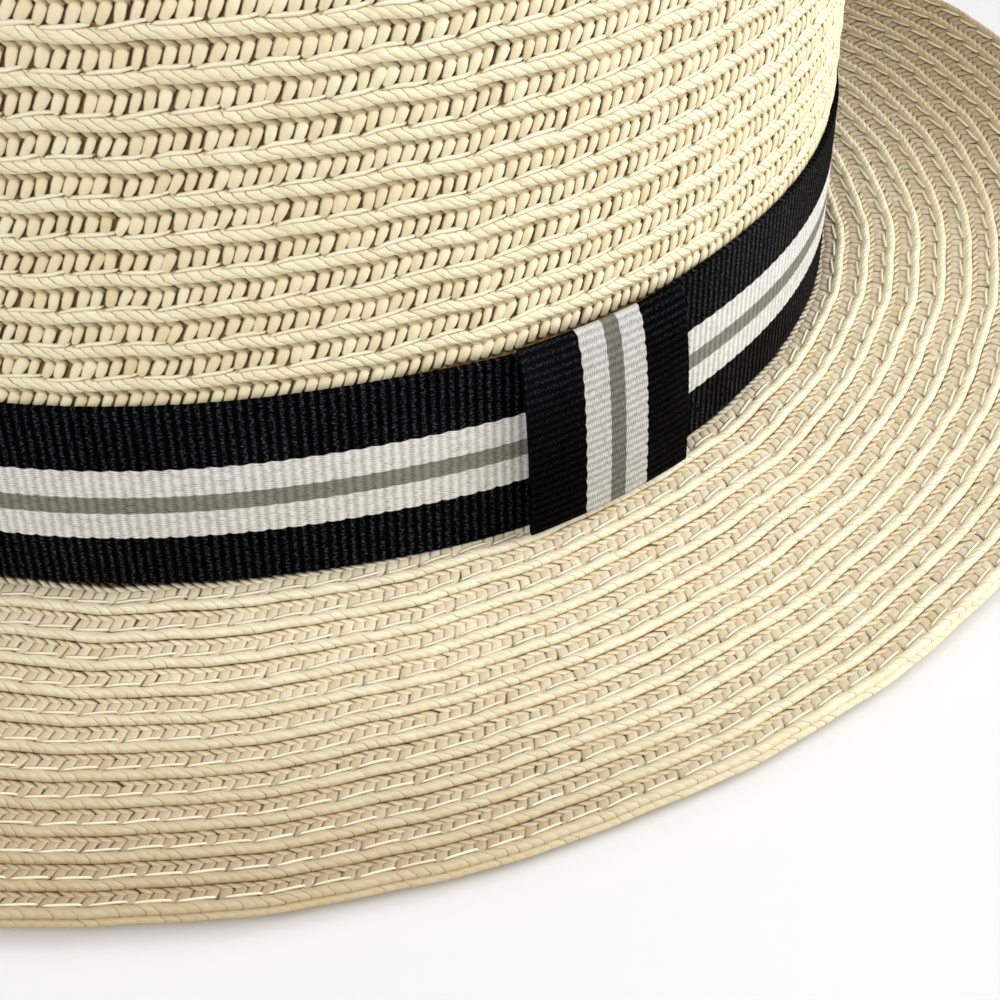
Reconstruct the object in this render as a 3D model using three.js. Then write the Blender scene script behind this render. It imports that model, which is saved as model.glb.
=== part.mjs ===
// Straw fedora: a sewn braid crown and brim, a striped ribbon band and an upright ribbon loop on it
// Millimetres and degrees. +Z is up, the front of the hat looks along -Y, and the wearer's left is +X.
import * as THREE from "three";

// Head oval, outside of the straw at the head line where crown and brim meet
const HEAD = { halfWidth: 85, halfLength: 102 };

// How the hat sits: the head line leans back a little and stands this high over the surface it rests on
const SEAT = { leanBack: 2.0, headLineHeight: 6.3, setback: -0.1 };

// Crown: a nearly upright wall, a round shoulder and a low dome that ends in a narrow slit of a tip
const CROWN = {
  foot: 2.0,
  wallHeight: 86,
  taper: 0.03,
  shoulderRadius: 17,
  domeRise: 4,
  tipHalfWidth: 1.5,
  fallToBack: 3,
};

// Centre crease in the crown's top, narrower at the front than at the back
const CREASE = {
  depth: 20,
  frontHalfWidth: 15,
  backHalfWidth: 29,
  fadeFrom: 58,
  fadeTo: 95,
  endShare: 0.35,
};

// Two pinches in the front of the crown, one on each side
const PINCH = { turn: 26, spread: 13, depth: 12, lowest: 42, fullHeight: 92, topReach: 36 };

// The crown's dents start above this height and are whole at the shoulder's top
const DENT_START = 66;

// Braid rows: each row rises from under the row before it to a proud lower edge
const BRAID = {
  crownPitch: 5.43,
  crownFirst: 1.72,
  brimPitch: 4.55,
  brimFirst: 5.35,
  step: 0.9,
  edgeHalf: 0.35,
};
const STRAW_WALL = 2.0;

// Brim: its width along the straw and its slopes at root and edge, from the front round to the back
const BRIM = { width: 55.4, rows: 11, collarTop: 1.7, rim: 0.7 };
const BRIM_STATIONS = [
  { turn: 0, rootSlope: -16.4, edgeSlope: -4.0 },
  { turn: 30, rootSlope: -21.0, edgeSlope: 4.0 },
  { turn: 60, rootSlope: -19.8, edgeSlope: 8.7 },
  { turn: 90, rootSlope: -15.0, edgeSlope: 8.7 },
  { turn: 120, rootSlope: -9.0, edgeSlope: 11.0 },
  { turn: 150, rootSlope: 1.0, edgeSlope: 14.0 },
  { turn: 180, rootSlope: 5.8, edgeSlope: 15.6 },
];
const STATION_STEP = 30;

// Ribbon: one striped grosgrain ribbon makes both the band and the loop
const RIBBON = { foot: 0.5, top: 32.0, thickness: 1.0, clearance: 0.3 };

// Where the loop gathers the band: the band's top edge dips there, and its foot swells outward
const GATHER = {
  dip: 1.4,
  dipAngle: 11,
  dipSpread: 11,
  swell: 1.5,
  swellAngle: 9,
  swellSpread: 13,
  swellFade: 0.6,
};

// Loop: one wide fold that stands off the band, closes over its top edge and is flatter towards the back
const LOOP = {
  startAngle: 5.2,
  endAngle: 22.3,
  foot: 0.4,
  top: 32.9,
  faceOff: 7.0,
  nearOff: 1.7,
  tilt: 0.14,
  steps: 8,
  rises: 8,
};

// Facets round the hat
const AROUND = 40;

const STRAW_COLOUR = 0xe6d3a3;
const RIBBON_COLOUR = 0x16171c;

const radians = THREE.MathUtils.degToRad;
const smooth = THREE.MathUtils.smoothstep;
const lerp = THREE.MathUtils.lerp;

/** Even steps round the whole oval, as ellipse parameters from +X towards the back. */
const ANGLES = Array.from({ length: AROUND }, (_, i) => (2 * Math.PI * i) / AROUND);

/** Degrees from the front, 0 to 180, the same on both sides. */
function turnFromFront(angle) {
  const turned = THREE.MathUtils.euclideanModulo(THREE.MathUtils.radToDeg(angle) + 90, 360);
  return turned > 180 ? 360 - turned : turned;
}

/** Outward direction of the head oval, in plan. */
function outward(angle) {
  return new THREE.Vector2(Math.cos(angle) / HEAD.halfWidth, Math.sin(angle) / HEAD.halfLength).normalize();
}

/** A point that lies a distance outside the head oval, at a height over the head line. */
function besideHead(angle, out, height) {
  const way = outward(angle);
  const x = HEAD.halfWidth * Math.cos(angle) + way.x * out;
  const y = HEAD.halfLength * Math.sin(angle) + way.y * out;
  return new THREE.Vector3(x, y, height);
}

/** Moves a point from the head line's frame to the resting hat's frame. */
function seat(point) {
  const lean = radians(-SEAT.leanBack);
  point.applyAxisAngle(new THREE.Vector3(1, 0, 0), lean);
  point.y += SEAT.setback;
  point.z += SEAT.headLineHeight;
  return point;
}

// Crown

const SHOULDER_LENGTH = (Math.PI / 2) * CROWN.shoulderRadius;
const WALL_INSET = CROWN.taper * CROWN.wallHeight;
const TOP_LENGTH = HEAD.halfWidth - CROWN.tipHalfWidth - WALL_INSET - CROWN.shoulderRadius;
const CROWN_LENGTH = CROWN.wallHeight + SHOULDER_LENGTH + TOP_LENGTH;
const SHOULDER_TOP = CROWN.wallHeight + CROWN.shoulderRadius;

/** Inset, height and normal of the undented crown, at a length up its wall from the head line. */
function crownMeridian(length) {
  if (length <= CROWN.wallHeight) {
    return { inset: CROWN.taper * length, height: length, out: 1, up: 0 };
  }
  const past = length - CROWN.wallHeight;
  if (past <= SHOULDER_LENGTH) {
    const bend = past / CROWN.shoulderRadius;
    const inset = WALL_INSET + CROWN.shoulderRadius * (1 - Math.cos(bend));
    const height = CROWN.wallHeight + CROWN.shoulderRadius * Math.sin(bend);
    return { inset, height, out: Math.cos(bend), up: Math.sin(bend) };
  }
  const along = past - SHOULDER_LENGTH;
  const rise = CROWN.domeRise * Math.sin((Math.PI / 2) * (along / TOP_LENGTH));
  const inset = WALL_INSET + CROWN.shoulderRadius + along;
  return { inset, height: SHOULDER_TOP + rise, out: 0, up: 1 };
}

/** How far the crease, the pinches and the fall to the back move a point of the crown. */
function crownDent(angle, point, inset) {
  const share = smooth(point.z, DENT_START, SHOULDER_TOP);
  const alongHead = (point.y / HEAD.halfLength + 1) / 2;
  const halfWidth = lerp(CREASE.frontHalfWidth, CREASE.backHalfWidth, alongHead);
  const fade = 1 - (1 - CREASE.endShare) * smooth(Math.abs(point.y), CREASE.fadeFrom, CREASE.fadeTo);
  const crease = CREASE.depth * Math.exp(-((point.x / halfWidth) ** 2)) * fade;
  const fall = (CROWN.fallToBack * point.y) / HEAD.halfLength;

  const round = Math.exp(-(((turnFromFront(angle) - PINCH.turn) / PINCH.spread) ** 2));
  const rise = smooth(point.z, PINCH.lowest, PINCH.fullHeight);
  const overTop = 1 - smooth(inset, CROWN.shoulderRadius, CROWN.shoulderRadius + PINCH.topReach);
  const pinch = PINCH.depth * round * rise * overTop;
  const way = outward(angle);
  return new THREE.Vector3(-way.x * pinch, -way.y * pinch, -share * (crease + fall));
}

/** A point of the crown, offset from its outer face along the undented normal. */
function crownPoint(angle, length, offset) {
  const { inset, height, out, up } = crownMeridian(length);
  const width = HEAD.halfWidth - inset;
  const depth = HEAD.halfLength - inset;
  const point = new THREE.Vector3(width * Math.cos(angle), depth * Math.sin(angle), height);
  const dent = crownDent(angle, point, inset);
  const way = outward(angle);
  const proud = new THREE.Vector3(way.x * out * offset, way.y * out * offset, up * offset);
  return seat(point.add(dent).add(proud));
}

/** One ring of crown points. */
function crownRing(length, offset) {
  return ANGLES.map((angle) => crownPoint(angle, length, offset));
}

/** The middle of the crown's tip. */
function crownTip(offset) {
  const left = crownPoint(0, CROWN_LENGTH, offset);
  const right = crownPoint(Math.PI, CROWN_LENGTH, offset);
  return left.add(right).multiplyScalar(0.5);
}

/** Outer rings from the tip down over every braid row, then inner rings back up to the tip. */
function crownGeometry() {
  const rows = Math.floor((CROWN_LENGTH - BRAID.crownFirst - BRAID.crownPitch) / BRAID.crownPitch);
  const rings = [crownRing(CROWN_LENGTH, 0)];
  for (let row = rows; row >= 1; row -= 1) {
    const lower = BRAID.crownFirst + row * BRAID.crownPitch;
    rings.push(crownRing(lower + BRAID.edgeHalf, 0));
    rings.push(crownRing(lower - BRAID.edgeHalf, -BRAID.step));
  }
  rings.push(crownRing(CROWN.foot, 0));
  const innerRings = Math.ceil(rows / 2);
  for (let i = 0; i <= innerRings; i += 1) {
    rings.push(crownRing(lerp(CROWN.foot, CROWN_LENGTH, i / innerRings), -STRAW_WALL));
  }
  return loft(rings, { startPole: crownTip(0), endPole: crownTip(-STRAW_WALL) });
}

// Brim

/** A station column's value at any turn from the front, smoothly between the table's rows. */
function brimSlope(turn, column) {
  const place = turn / STATION_STEP;
  const last = BRIM_STATIONS.length - 1;
  const index = Math.min(Math.floor(place), last - 1);
  const share = place - index;
  const pick = (i) => BRIM_STATIONS[i < 0 ? -i : i > last ? 2 * last - i : i][column];
  const [before, start, end, after] = [index - 1, index, index + 1, index + 2].map(pick);
  const bend = 2 * before - 5 * start + 4 * end - after;
  const turnOver = -before + 3 * start - 3 * end + after;
  return start + 0.5 * share * (end - before + share * (bend + share * turnOver));
}

/** A point of the brim at a length out from the head line, offset from its upper face along the normal. */
function brimPoint(angle, length, offset) {
  const turn = turnFromFront(angle);
  const root = radians(brimSlope(turn, "rootSlope"));
  const edge = radians(brimSlope(turn, "edgeSlope"));
  const slope = (along) => root + (edge - root) * (along / BRIM.width);
  const pieces = 24;
  const step = length / pieces;
  let out = 0;
  let height = 0;
  for (let i = 0; i < pieces; i += 1) {
    const tilt = slope(step * (i + 0.5));
    out += step * Math.cos(tilt);
    height += step * Math.sin(tilt);
  }
  const tilt = slope(length);
  return seat(besideHead(angle, out - offset * Math.sin(tilt), height + offset * Math.cos(tilt)));
}

/** One ring of brim points. */
function brimRing(length, offset) {
  return ANGLES.map((angle) => brimPoint(angle, length, offset));
}

/** One ring of the short collar that carries the brim up inside the ribbon. */
function collarRing(out, height) {
  return ANGLES.map((angle) => seat(besideHead(angle, out, height)));
}

/** The underside lies flat where it meets the surface that the hat rests on. */
function restOnSurface(ring) {
  return ring.map((point) => point.setZ(Math.max(point.z, 0)));
}

/** Rings over the top rows from the collar to the rim, then back under the straw. */
function brimGeometry() {
  const rings = [collarRing(-BRAID.step, BRIM.collarTop), brimRing(BRAID.edgeHalf, -BRAID.step)];
  for (let row = 0; row < BRIM.rows; row += 1) {
    const outer = BRAID.brimFirst + row * BRAID.brimPitch;
    rings.push(brimRing(outer - BRAID.edgeHalf, 0));
    rings.push(brimRing(outer + BRAID.edgeHalf, -BRAID.step));
  }
  rings.push(brimRing(BRIM.width - BRIM.rim, 0));
  rings.push(brimRing(BRIM.width, -STRAW_WALL / 2));
  const underRings = BRIM.rows;
  for (let i = 0; i <= underRings; i += 1) {
    const length = lerp(BRIM.width - BRIM.rim, BRIM.rim, i / underRings);
    rings.push(restOnSurface(brimRing(length, -STRAW_WALL)));
  }
  rings.push(collarRing(-STRAW_WALL, -STRAW_WALL / 2));
  rings.push(collarRing(-STRAW_WALL, BRIM.collarTop));
  return loft(rings, { closed: true });
}

// Ribbon

/** How far the crown's face stands inside the head oval at a height over the head line. */
function wallInset(height) {
  return CROWN.taper * Math.max(height, 0);
}

/** A point beside the crown's wall, at a distance off its face. */
function besideWall(angle, off, height) {
  return seat(besideHead(angle, off - wallInset(height), height));
}

/** How near an angle is to a middle: 1 there, falling to 0. */
function nearness(angle, middle, spread) {
  const turned = THREE.MathUtils.euclideanModulo(THREE.MathUtils.radToDeg(angle) - middle + 180, 360) - 180;
  return Math.exp(-((turned / spread) ** 2));
}

/** A corner of the band's section: side runs out from the crown and up from the foot, both 0 to 1. */
function bandPoint(angle, side, up) {
  const dip = GATHER.dip * nearness(angle, GATHER.dipAngle, GATHER.dipSpread);
  const fade = 1 - GATHER.swellFade * up;
  const swell = GATHER.swell * fade * nearness(angle, GATHER.swellAngle, GATHER.swellSpread);
  const off = RIBBON.clearance + RIBBON.thickness * side + swell;
  return besideWall(angle, off, lerp(RIBBON.foot, RIBBON.top - dip, up));
}

/** The band: an upright strip all round the foot of the crown. */
function bandGeometry() {
  const corners = [
    { side: 1, up: 1 },
    { side: 1, up: 0 },
    { side: 0, up: 0 },
    { side: 0, up: 1 },
  ];
  const rings = corners.map(({ side, up }) => ANGLES.map((angle) => bandPoint(angle, side, up)));
  return loft(rings, { closed: true });
}

/** The loop's section at a share of its width: a round front that folds in over the band's top edge. */
function loopSection(share) {
  const angle = radians(lerp(LOOP.startAngle, LOOP.endAngle, share));
  const reach = (LOOP.faceOff - LOOP.nearOff) * (1 - LOOP.tilt * share);
  const front = [];
  const back = [];
  for (let i = 0; i <= LOOP.rises; i += 1) {
    const turn = (Math.PI / 2) * (i / LOOP.rises);
    const frontOff = LOOP.nearOff + reach * Math.cos(turn);
    const backOff = LOOP.nearOff + (reach - RIBBON.thickness) * Math.cos(turn);
    front.push(besideWall(angle, frontOff, lerp(LOOP.foot, LOOP.top, Math.sin(turn))));
    back.push(besideWall(angle, backOff, lerp(LOOP.foot, LOOP.top - RIBBON.thickness, Math.sin(turn))));
  }
  return [...front, ...back.reverse()];
}

/** The loop: its section carried round the band, with both ends closed. */
function loopGeometry() {
  const sections = [];
  for (let i = 0; i <= LOOP.steps; i += 1) {
    sections.push(loopSection(i / LOOP.steps));
  }
  return loft(sections, { capped: true });
}

// Surfaces from rings of points

/** Triangles of a closed outline, laid flat in its own plane. */
function capTriangles(ring) {
  const middle = ring.reduce((sum, point) => sum.add(point), new THREE.Vector3()).divideScalar(ring.length);
  const across = new THREE.Vector3(middle.x, middle.y, 0).normalize();
  const flat = ring.map((point) => new THREE.Vector2(point.clone().sub(middle).dot(across), point.z));
  return THREE.ShapeUtils.triangulateShape(flat, []);
}

/** A closed body through rings of equal length: poles, caps or a closed run join its ends. */
function loft(rings, { startPole, endPole, closed = false, capped = false }) {
  const count = rings[0].length;
  const points = rings.flat();
  const index = [];
  const runs = closed ? rings.length : rings.length - 1;
  for (let run = 0; run < runs; run += 1) {
    const here = run * count;
    const there = ((run + 1) % rings.length) * count;
    for (let i = 0; i < count; i += 1) {
      const next = (i + 1) % count;
      index.push(here + i, there + i, there + next);
      index.push(here + i, there + next, here + next);
    }
  }
  const lastRing = (rings.length - 1) * count;
  if (startPole && endPole) {
    const startIndex = points.push(startPole) - 1;
    const endIndex = points.push(endPole) - 1;
    for (let i = 0; i < count; i += 1) {
      const next = (i + 1) % count;
      index.push(startIndex, i, next);
      index.push(endIndex, lastRing + next, lastRing + i);
    }
  }
  if (capped) {
    for (const [a, b, c] of capTriangles(rings[0])) {
      index.push(a, b, c);
    }
    for (const [a, b, c] of capTriangles(rings[rings.length - 1])) {
      index.push(lastRing + a, lastRing + c, lastRing + b);
    }
  }
  const geometry = new THREE.BufferGeometry().setFromPoints(points);
  geometry.setIndex(index);
  geometry.computeVertexNormals();
  return geometry;
}

/** A named piece of the hat. */
function piece(name, geometry, color, roughness) {
  const mesh = new THREE.Mesh(geometry, new THREE.MeshStandardMaterial({ color, roughness, metalness: 0 }));
  mesh.name = name;
  return mesh;
}

const hat = new THREE.Group();
hat.add(piece("crown", crownGeometry(), STRAW_COLOUR, 0.7));
hat.add(piece("brim", brimGeometry(), STRAW_COLOUR, 0.7));
hat.add(piece("ribbon_band", bandGeometry(), RIBBON_COLOUR, 0.6));
hat.add(piece("ribbon_loop", loopGeometry(), RIBBON_COLOUR, 0.6));

export default hat;
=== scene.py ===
"""Looks of a straw fedora: sewn braid crown and brim, a striped ribbon band and the loop over its joint.

Sizes are in millimetres and angles in degrees where nothing else is said, and ellipse parameters in radians.
"""

import logging
import math
from dataclasses import dataclass, replace
from enum import Enum
from typing import Callable, NamedTuple, Sequence

import bpy
import numpy as np
from mathutils import Matrix, Vector


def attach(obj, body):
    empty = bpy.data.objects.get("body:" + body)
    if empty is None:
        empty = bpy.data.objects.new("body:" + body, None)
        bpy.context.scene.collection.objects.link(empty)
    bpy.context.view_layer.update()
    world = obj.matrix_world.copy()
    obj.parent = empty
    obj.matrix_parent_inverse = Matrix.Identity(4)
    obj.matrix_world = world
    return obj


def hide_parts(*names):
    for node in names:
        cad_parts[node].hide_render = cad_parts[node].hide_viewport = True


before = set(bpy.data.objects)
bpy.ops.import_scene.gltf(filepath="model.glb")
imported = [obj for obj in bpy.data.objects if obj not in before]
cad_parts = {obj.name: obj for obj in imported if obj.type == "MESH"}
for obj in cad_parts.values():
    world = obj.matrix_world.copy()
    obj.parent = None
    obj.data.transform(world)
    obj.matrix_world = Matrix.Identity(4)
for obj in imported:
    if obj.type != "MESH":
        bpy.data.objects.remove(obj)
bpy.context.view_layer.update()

LOG = logging.getLogger("fedora")
MM = 0.001
BODY = "root"
UV_MAP = "OFBake"
CORD_ATTRIBUTE = "cord"
STRAND_ATTRIBUTE = "strand"
MAP_CELL_SIZE = (0.86, 0.43)
MAP_CELL_START = (0.07, 0.5)
SEAM_REACH = 0.02 * MM
SMOOTH_ANGLE = 50.0

Array = np.ndarray
Colour = tuple[float, float, float]


class Slot(Enum):
    """Material slots of the part's record."""

    STRAW = "straw"
    RIBBON = "ribbon"


class Node(Enum):
    """Solids of the part that the dressed pieces stand for."""

    CROWN = "crown"
    BRIM = "brim"
    BAND = "ribbon_band"
    LOOP = "ribbon_loop"


def paint(red: int, green: int, blue: int) -> Colour:
    """Turns a display colour into the linear one that shaders use.

    Args:
        red: Red, 0 to 255.
        green: Green, 0 to 255.
        blue: Blue, 0 to 255.

    Returns:
        The linear colour, 0 to 1.
    """
    shares = (channel / 255 for channel in (red, green, blue))
    return tuple(s / 12.92 if s <= 0.04045 else ((s + 0.055) / 1.055) ** 2.4 for s in shares)


def smoothstep(value: Array, low: float, high: float) -> Array:
    """Rises smoothly from 0 at the low value to 1 at the high one.

    Args:
        value: Numbers to ease.
        low: Where the rise starts.
        high: Where the rise ends.

    Returns:
        Shares from 0 to 1.
    """
    share = np.clip((value - low) / (high - low), 0, 1)
    return share * share * (3 - 2 * share)


# Shader maths


class Value:
    """A number in a shader, whose arithmetic adds Math nodes."""

    def __init__(self, sheet: "NodeSheet", socket: bpy.types.NodeSocket) -> None:
        """Keeps the socket and the node sheet it belongs to."""
        self.sheet = sheet
        self.socket = socket

    def maths(self, operation: str, *operands: "Value | float") -> "Value":
        """Adds one Math node.

        Args:
            operation: The node's operation.
            operands: Its inputs, in order.

        Returns:
            The node's result.
        """
        return self.sheet.node("ShaderNodeMath", {"operation": operation}, dict(enumerate(operands)))

    def __add__(self, other: "Value | float") -> "Value":
        """Sum."""
        return self.maths("ADD", self, other)

    __radd__ = __add__

    def __sub__(self, other: "Value | float") -> "Value":
        """Difference."""
        return self.maths("SUBTRACT", self, other)

    def __rsub__(self, other: float) -> "Value":
        """Difference from a plain number."""
        return self.maths("SUBTRACT", other, self)

    def __mul__(self, other: "Value | float") -> "Value":
        """Product."""
        return self.maths("MULTIPLY", self, other)

    __rmul__ = __mul__

    def __truediv__(self, other: "Value | float") -> "Value":
        """Quotient."""
        return self.maths("DIVIDE", self, other)

    def __mod__(self, other: float) -> "Value":
        """Remainder, always from 0 up."""
        return self.maths("FLOORED_MODULO", self, other)

    def __abs__(self) -> "Value":
        """Size without sign."""
        return self.maths("ABSOLUTE", self)

    def floor(self) -> "Value":
        """Whole number below."""
        return self.maths("FLOOR", self)

    def sine(self) -> "Value":
        """Sine of radians."""
        return self.maths("SINE", self)

    def least(self, other: "Value | float") -> "Value":
        """Smaller of two numbers."""
        return self.maths("MINIMUM", self, other)

    def most(self, other: "Value | float") -> "Value":
        """Larger of two numbers."""
        return self.maths("MAXIMUM", self, other)

    def rise(self, low: "Value | float", high: "Value | float") -> "Value":
        """Smooth rise from 0 at the low value to 1 at the high one.

        Args:
            low: Where the rise starts.
            high: Where it ends.

        Returns:
            A share from 0 to 1.
        """
        settings = {"interpolation_type": "SMOOTHSTEP"}
        return self.sheet.node("ShaderNodeMapRange", settings, {0: self, 1: low, 2: high, 3: 0.0, 4: 1.0})


class NodeSheet:
    """The node tree of one material."""

    def __init__(self, name: str) -> None:
        """Starts an empty material with its output node.

        Args:
            name: The material's name.
        """
        self.material = bpy.data.materials.new(name)
        self.material.use_nodes = True
        self.tree = self.material.node_tree
        self.tree.nodes.clear()
        self.output = self.tree.nodes.new("ShaderNodeOutputMaterial")

    def node(self, kind: str, settings: dict, inputs: dict, output: int | str = 0) -> Value:
        """Adds any node.

        Args:
            kind: The node's type.
            settings: Its properties, set first.
            inputs: Values or links of its sockets, by number or name.
            output: The socket that is wanted, by number or name.

        Returns:
            The wanted output.
        """
        made = self.tree.nodes.new(kind)
        for key, setting in settings.items():
            setattr(made, key, setting)
        for key, given in inputs.items():
            if isinstance(given, Value):
                self.tree.links.new(given.socket, made.inputs[key])
            else:
                made.inputs[key].default_value = given
        return Value(self, made.outputs[output])

    def mix(self, share: Value | float, first: Value | Colour, second: Value | Colour) -> Value:
        """Mixes two colours.

        Args:
            share: 0 for the first, 1 for the second.
            first: A colour.
            second: A colour.

        Returns:
            The mixed colour.
        """
        inputs = {0: share, 6: self.solid(first), 7: self.solid(second)}
        return self.node("ShaderNodeMix", {"data_type": "RGBA"}, inputs, 2)

    def solid(self, colour: Value | Colour) -> "Value | tuple":
        """Gives a plain colour the fourth number that sockets want."""
        return colour if isinstance(colour, Value) else (*colour, 1.0)

    def parts(self, vector: Value) -> tuple[Value, Value, Value]:
        """Splits a vector.

        Args:
            vector: The vector.

        Returns:
            Its three numbers.
        """
        split = self.node("ShaderNodeSeparateXYZ", {}, {0: vector}).socket.node
        return tuple(Value(self, socket) for socket in split.outputs)

    def vector(self, x: Value | float, y: Value | float, z: Value | float) -> Value:
        """Joins three numbers into a vector."""
        return self.node("ShaderNodeCombineXYZ", {}, {0: x, 1: y, 2: z})

    def grain(self, x: Value | float, y: Value | float, z: Value | float, detail: float) -> Value:
        """Adds a noise pattern that is read at three numbers."""
        return self.noise(self.vector(x, y, z), 1.0, detail)

    def noise(self, vector: Value, scale: float, detail: float) -> Value:
        """Adds a noise pattern.

        Args:
            vector: Where it is read.
            scale: Its fineness.
            detail: Its octaves.

        Returns:
            Values round 0.5.
        """
        return self.node("ShaderNodeTexNoise", {}, {"Vector": vector, "Scale": scale, "Detail": detail})

    def chance(self, seed: Value) -> Value:
        """Gives an even random number for each seed."""
        return self.node("ShaderNodeTexWhiteNoise", {"noise_dimensions": "1D"}, {"W": seed})

    def bump(self, height: Value, strength: float, depth: float) -> Value:
        """Adds a bump.

        Args:
            height: The relief, 0 to 1.
            strength: How much of it shows.
            depth: How deep it is, in metres.

        Returns:
            The bumped normal.
        """
        return self.node("ShaderNodeBump", {}, {"Strength": strength, "Distance": depth, "Height": height})

    def surface(self, inputs: dict) -> bpy.types.Material:
        """Ends the sheet in a Principled shader.

        Args:
            inputs: Values or links of the shader's sockets.

        Returns:
            The finished material.
        """
        shader = self.node("ShaderNodeBsdfPrincipled", {}, inputs)
        self.tree.links.new(shader.socket, self.output.inputs[0])
        return self.material


# Finishes


@dataclass(frozen=True)
class PaintedShadeZones:
    """Where shade is painted into the brim's straw as a browner tone: its front, its back and the front half
    of its rim. Metres.
    """

    front_from: float = 0.07
    front_whole: float = 0.14
    back_from: float = 0.1
    back_whole: float = 0.155
    rim_slope: float = 1.57
    rim_from: float = 0.149
    rim_whole: float = 0.279

    def mask(self, sheet: NodeSheet) -> Value:
        """Marks the zones in a material.

        Args:
            sheet: The material's nodes.

        Returns:
            1 where the painted shade is deepest, falling to 0.
        """
        place = sheet.node("ShaderNodeTexCoord", {}, {}, "Object")
        to_left, to_back, _ = sheet.parts(place)
        front = (0.0 - to_back).rise(self.front_from, self.front_whole)
        back = to_back.rise(self.back_from, self.back_whole)
        rim = (abs(to_left) * self.rim_slope - to_back).rise(self.rim_from, self.rim_whole)
        return front.most(back).most(rim)


PAINTED_SHADE_ZONES = PaintedShadeZones()


@dataclass(frozen=True)
class StrawFinish:
    """Satin straw strands, each with its own tone and fibre streaks, with shade painted along their sides
    and at their ends, and the next cord's shadow painted near their root.

    It reads the share along a strand, from 0 to 1, the side of it, from -1 to 1, and the strand's tone.
    """

    name: str
    pale: Colour
    deep: Colour
    blush: Colour
    shade: Colour
    edge_share: float = 0.7
    end_share: float = 0.15
    root_share: float = 0.0
    root_reach: float = 0.46
    streak_share: float = 0.55
    streak_stretch: tuple[float, float, float] = (1.4, 3.2, 61.0)
    streak_scale: float = 3.4
    blush_share: float = 0.5
    # Shade painted as a browner tone in the brim's dimmer zones.
    zone_shade_share: float = 0.0
    zone_shade: Colour = paint(146, 114, 70)
    relief: float = 0.00012
    relief_share: float = 0.35
    roughness_from: float = 0.4
    roughness_spread: float = 0.25

    def material(self) -> bpy.types.Material:
        """Makes the finish.

        Returns:
            The material.
        """
        sheet = NodeSheet(self.name)
        strand = sheet.node("ShaderNodeAttribute", {"attribute_name": STRAND_ATTRIBUTE}, {}, "Vector")
        along, across, tone = sheet.parts(strand)
        long_stretch, wide_stretch, tone_stretch = self.streak_stretch
        place = sheet.vector(along * long_stretch, across * wide_stretch, tone * tone_stretch)
        streak = sheet.noise(place, self.streak_scale, 4.0)
        tint = sheet.chance(tone * 977.0)
        # Painted shade: dark lines where neighbours meet along the sides, at the tucked ends, and the next
        # cord's shadow near the root.
        edge = (across.rise(0.84, 1.0) + (0.0 - across).rise(0.9, 1.0) * 0.5) * self.edge_share
        ends = abs(along * 2.0 - 1.0).rise(0.55, 1.0) * self.end_share
        root = along.rise(self.root_reach + 0.07, self.root_reach - 0.05) * self.root_share
        colour = sheet.mix(tone, self.deep, self.pale)
        colour = sheet.mix(tint.rise(0.75, 1.0) * self.blush_share, colour, self.blush)
        colour = sheet.mix(streak.rise(0.48, 0.75) * self.streak_share, colour, self.deep)
        # Painted shade: the brim's dimmer zones browned.
        colour = sheet.mix(PAINTED_SHADE_ZONES.mask(sheet) * self.zone_shade_share, colour, self.zone_shade)
        colour = sheet.mix((edge + ends).most(root).least(0.9), colour, self.shade)
        return sheet.surface({
            "Base Color": colour,
            "Roughness": streak * self.roughness_spread + self.roughness_from,
            "Normal": sheet.bump(streak, self.relief_share, self.relief),
        })


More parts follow.
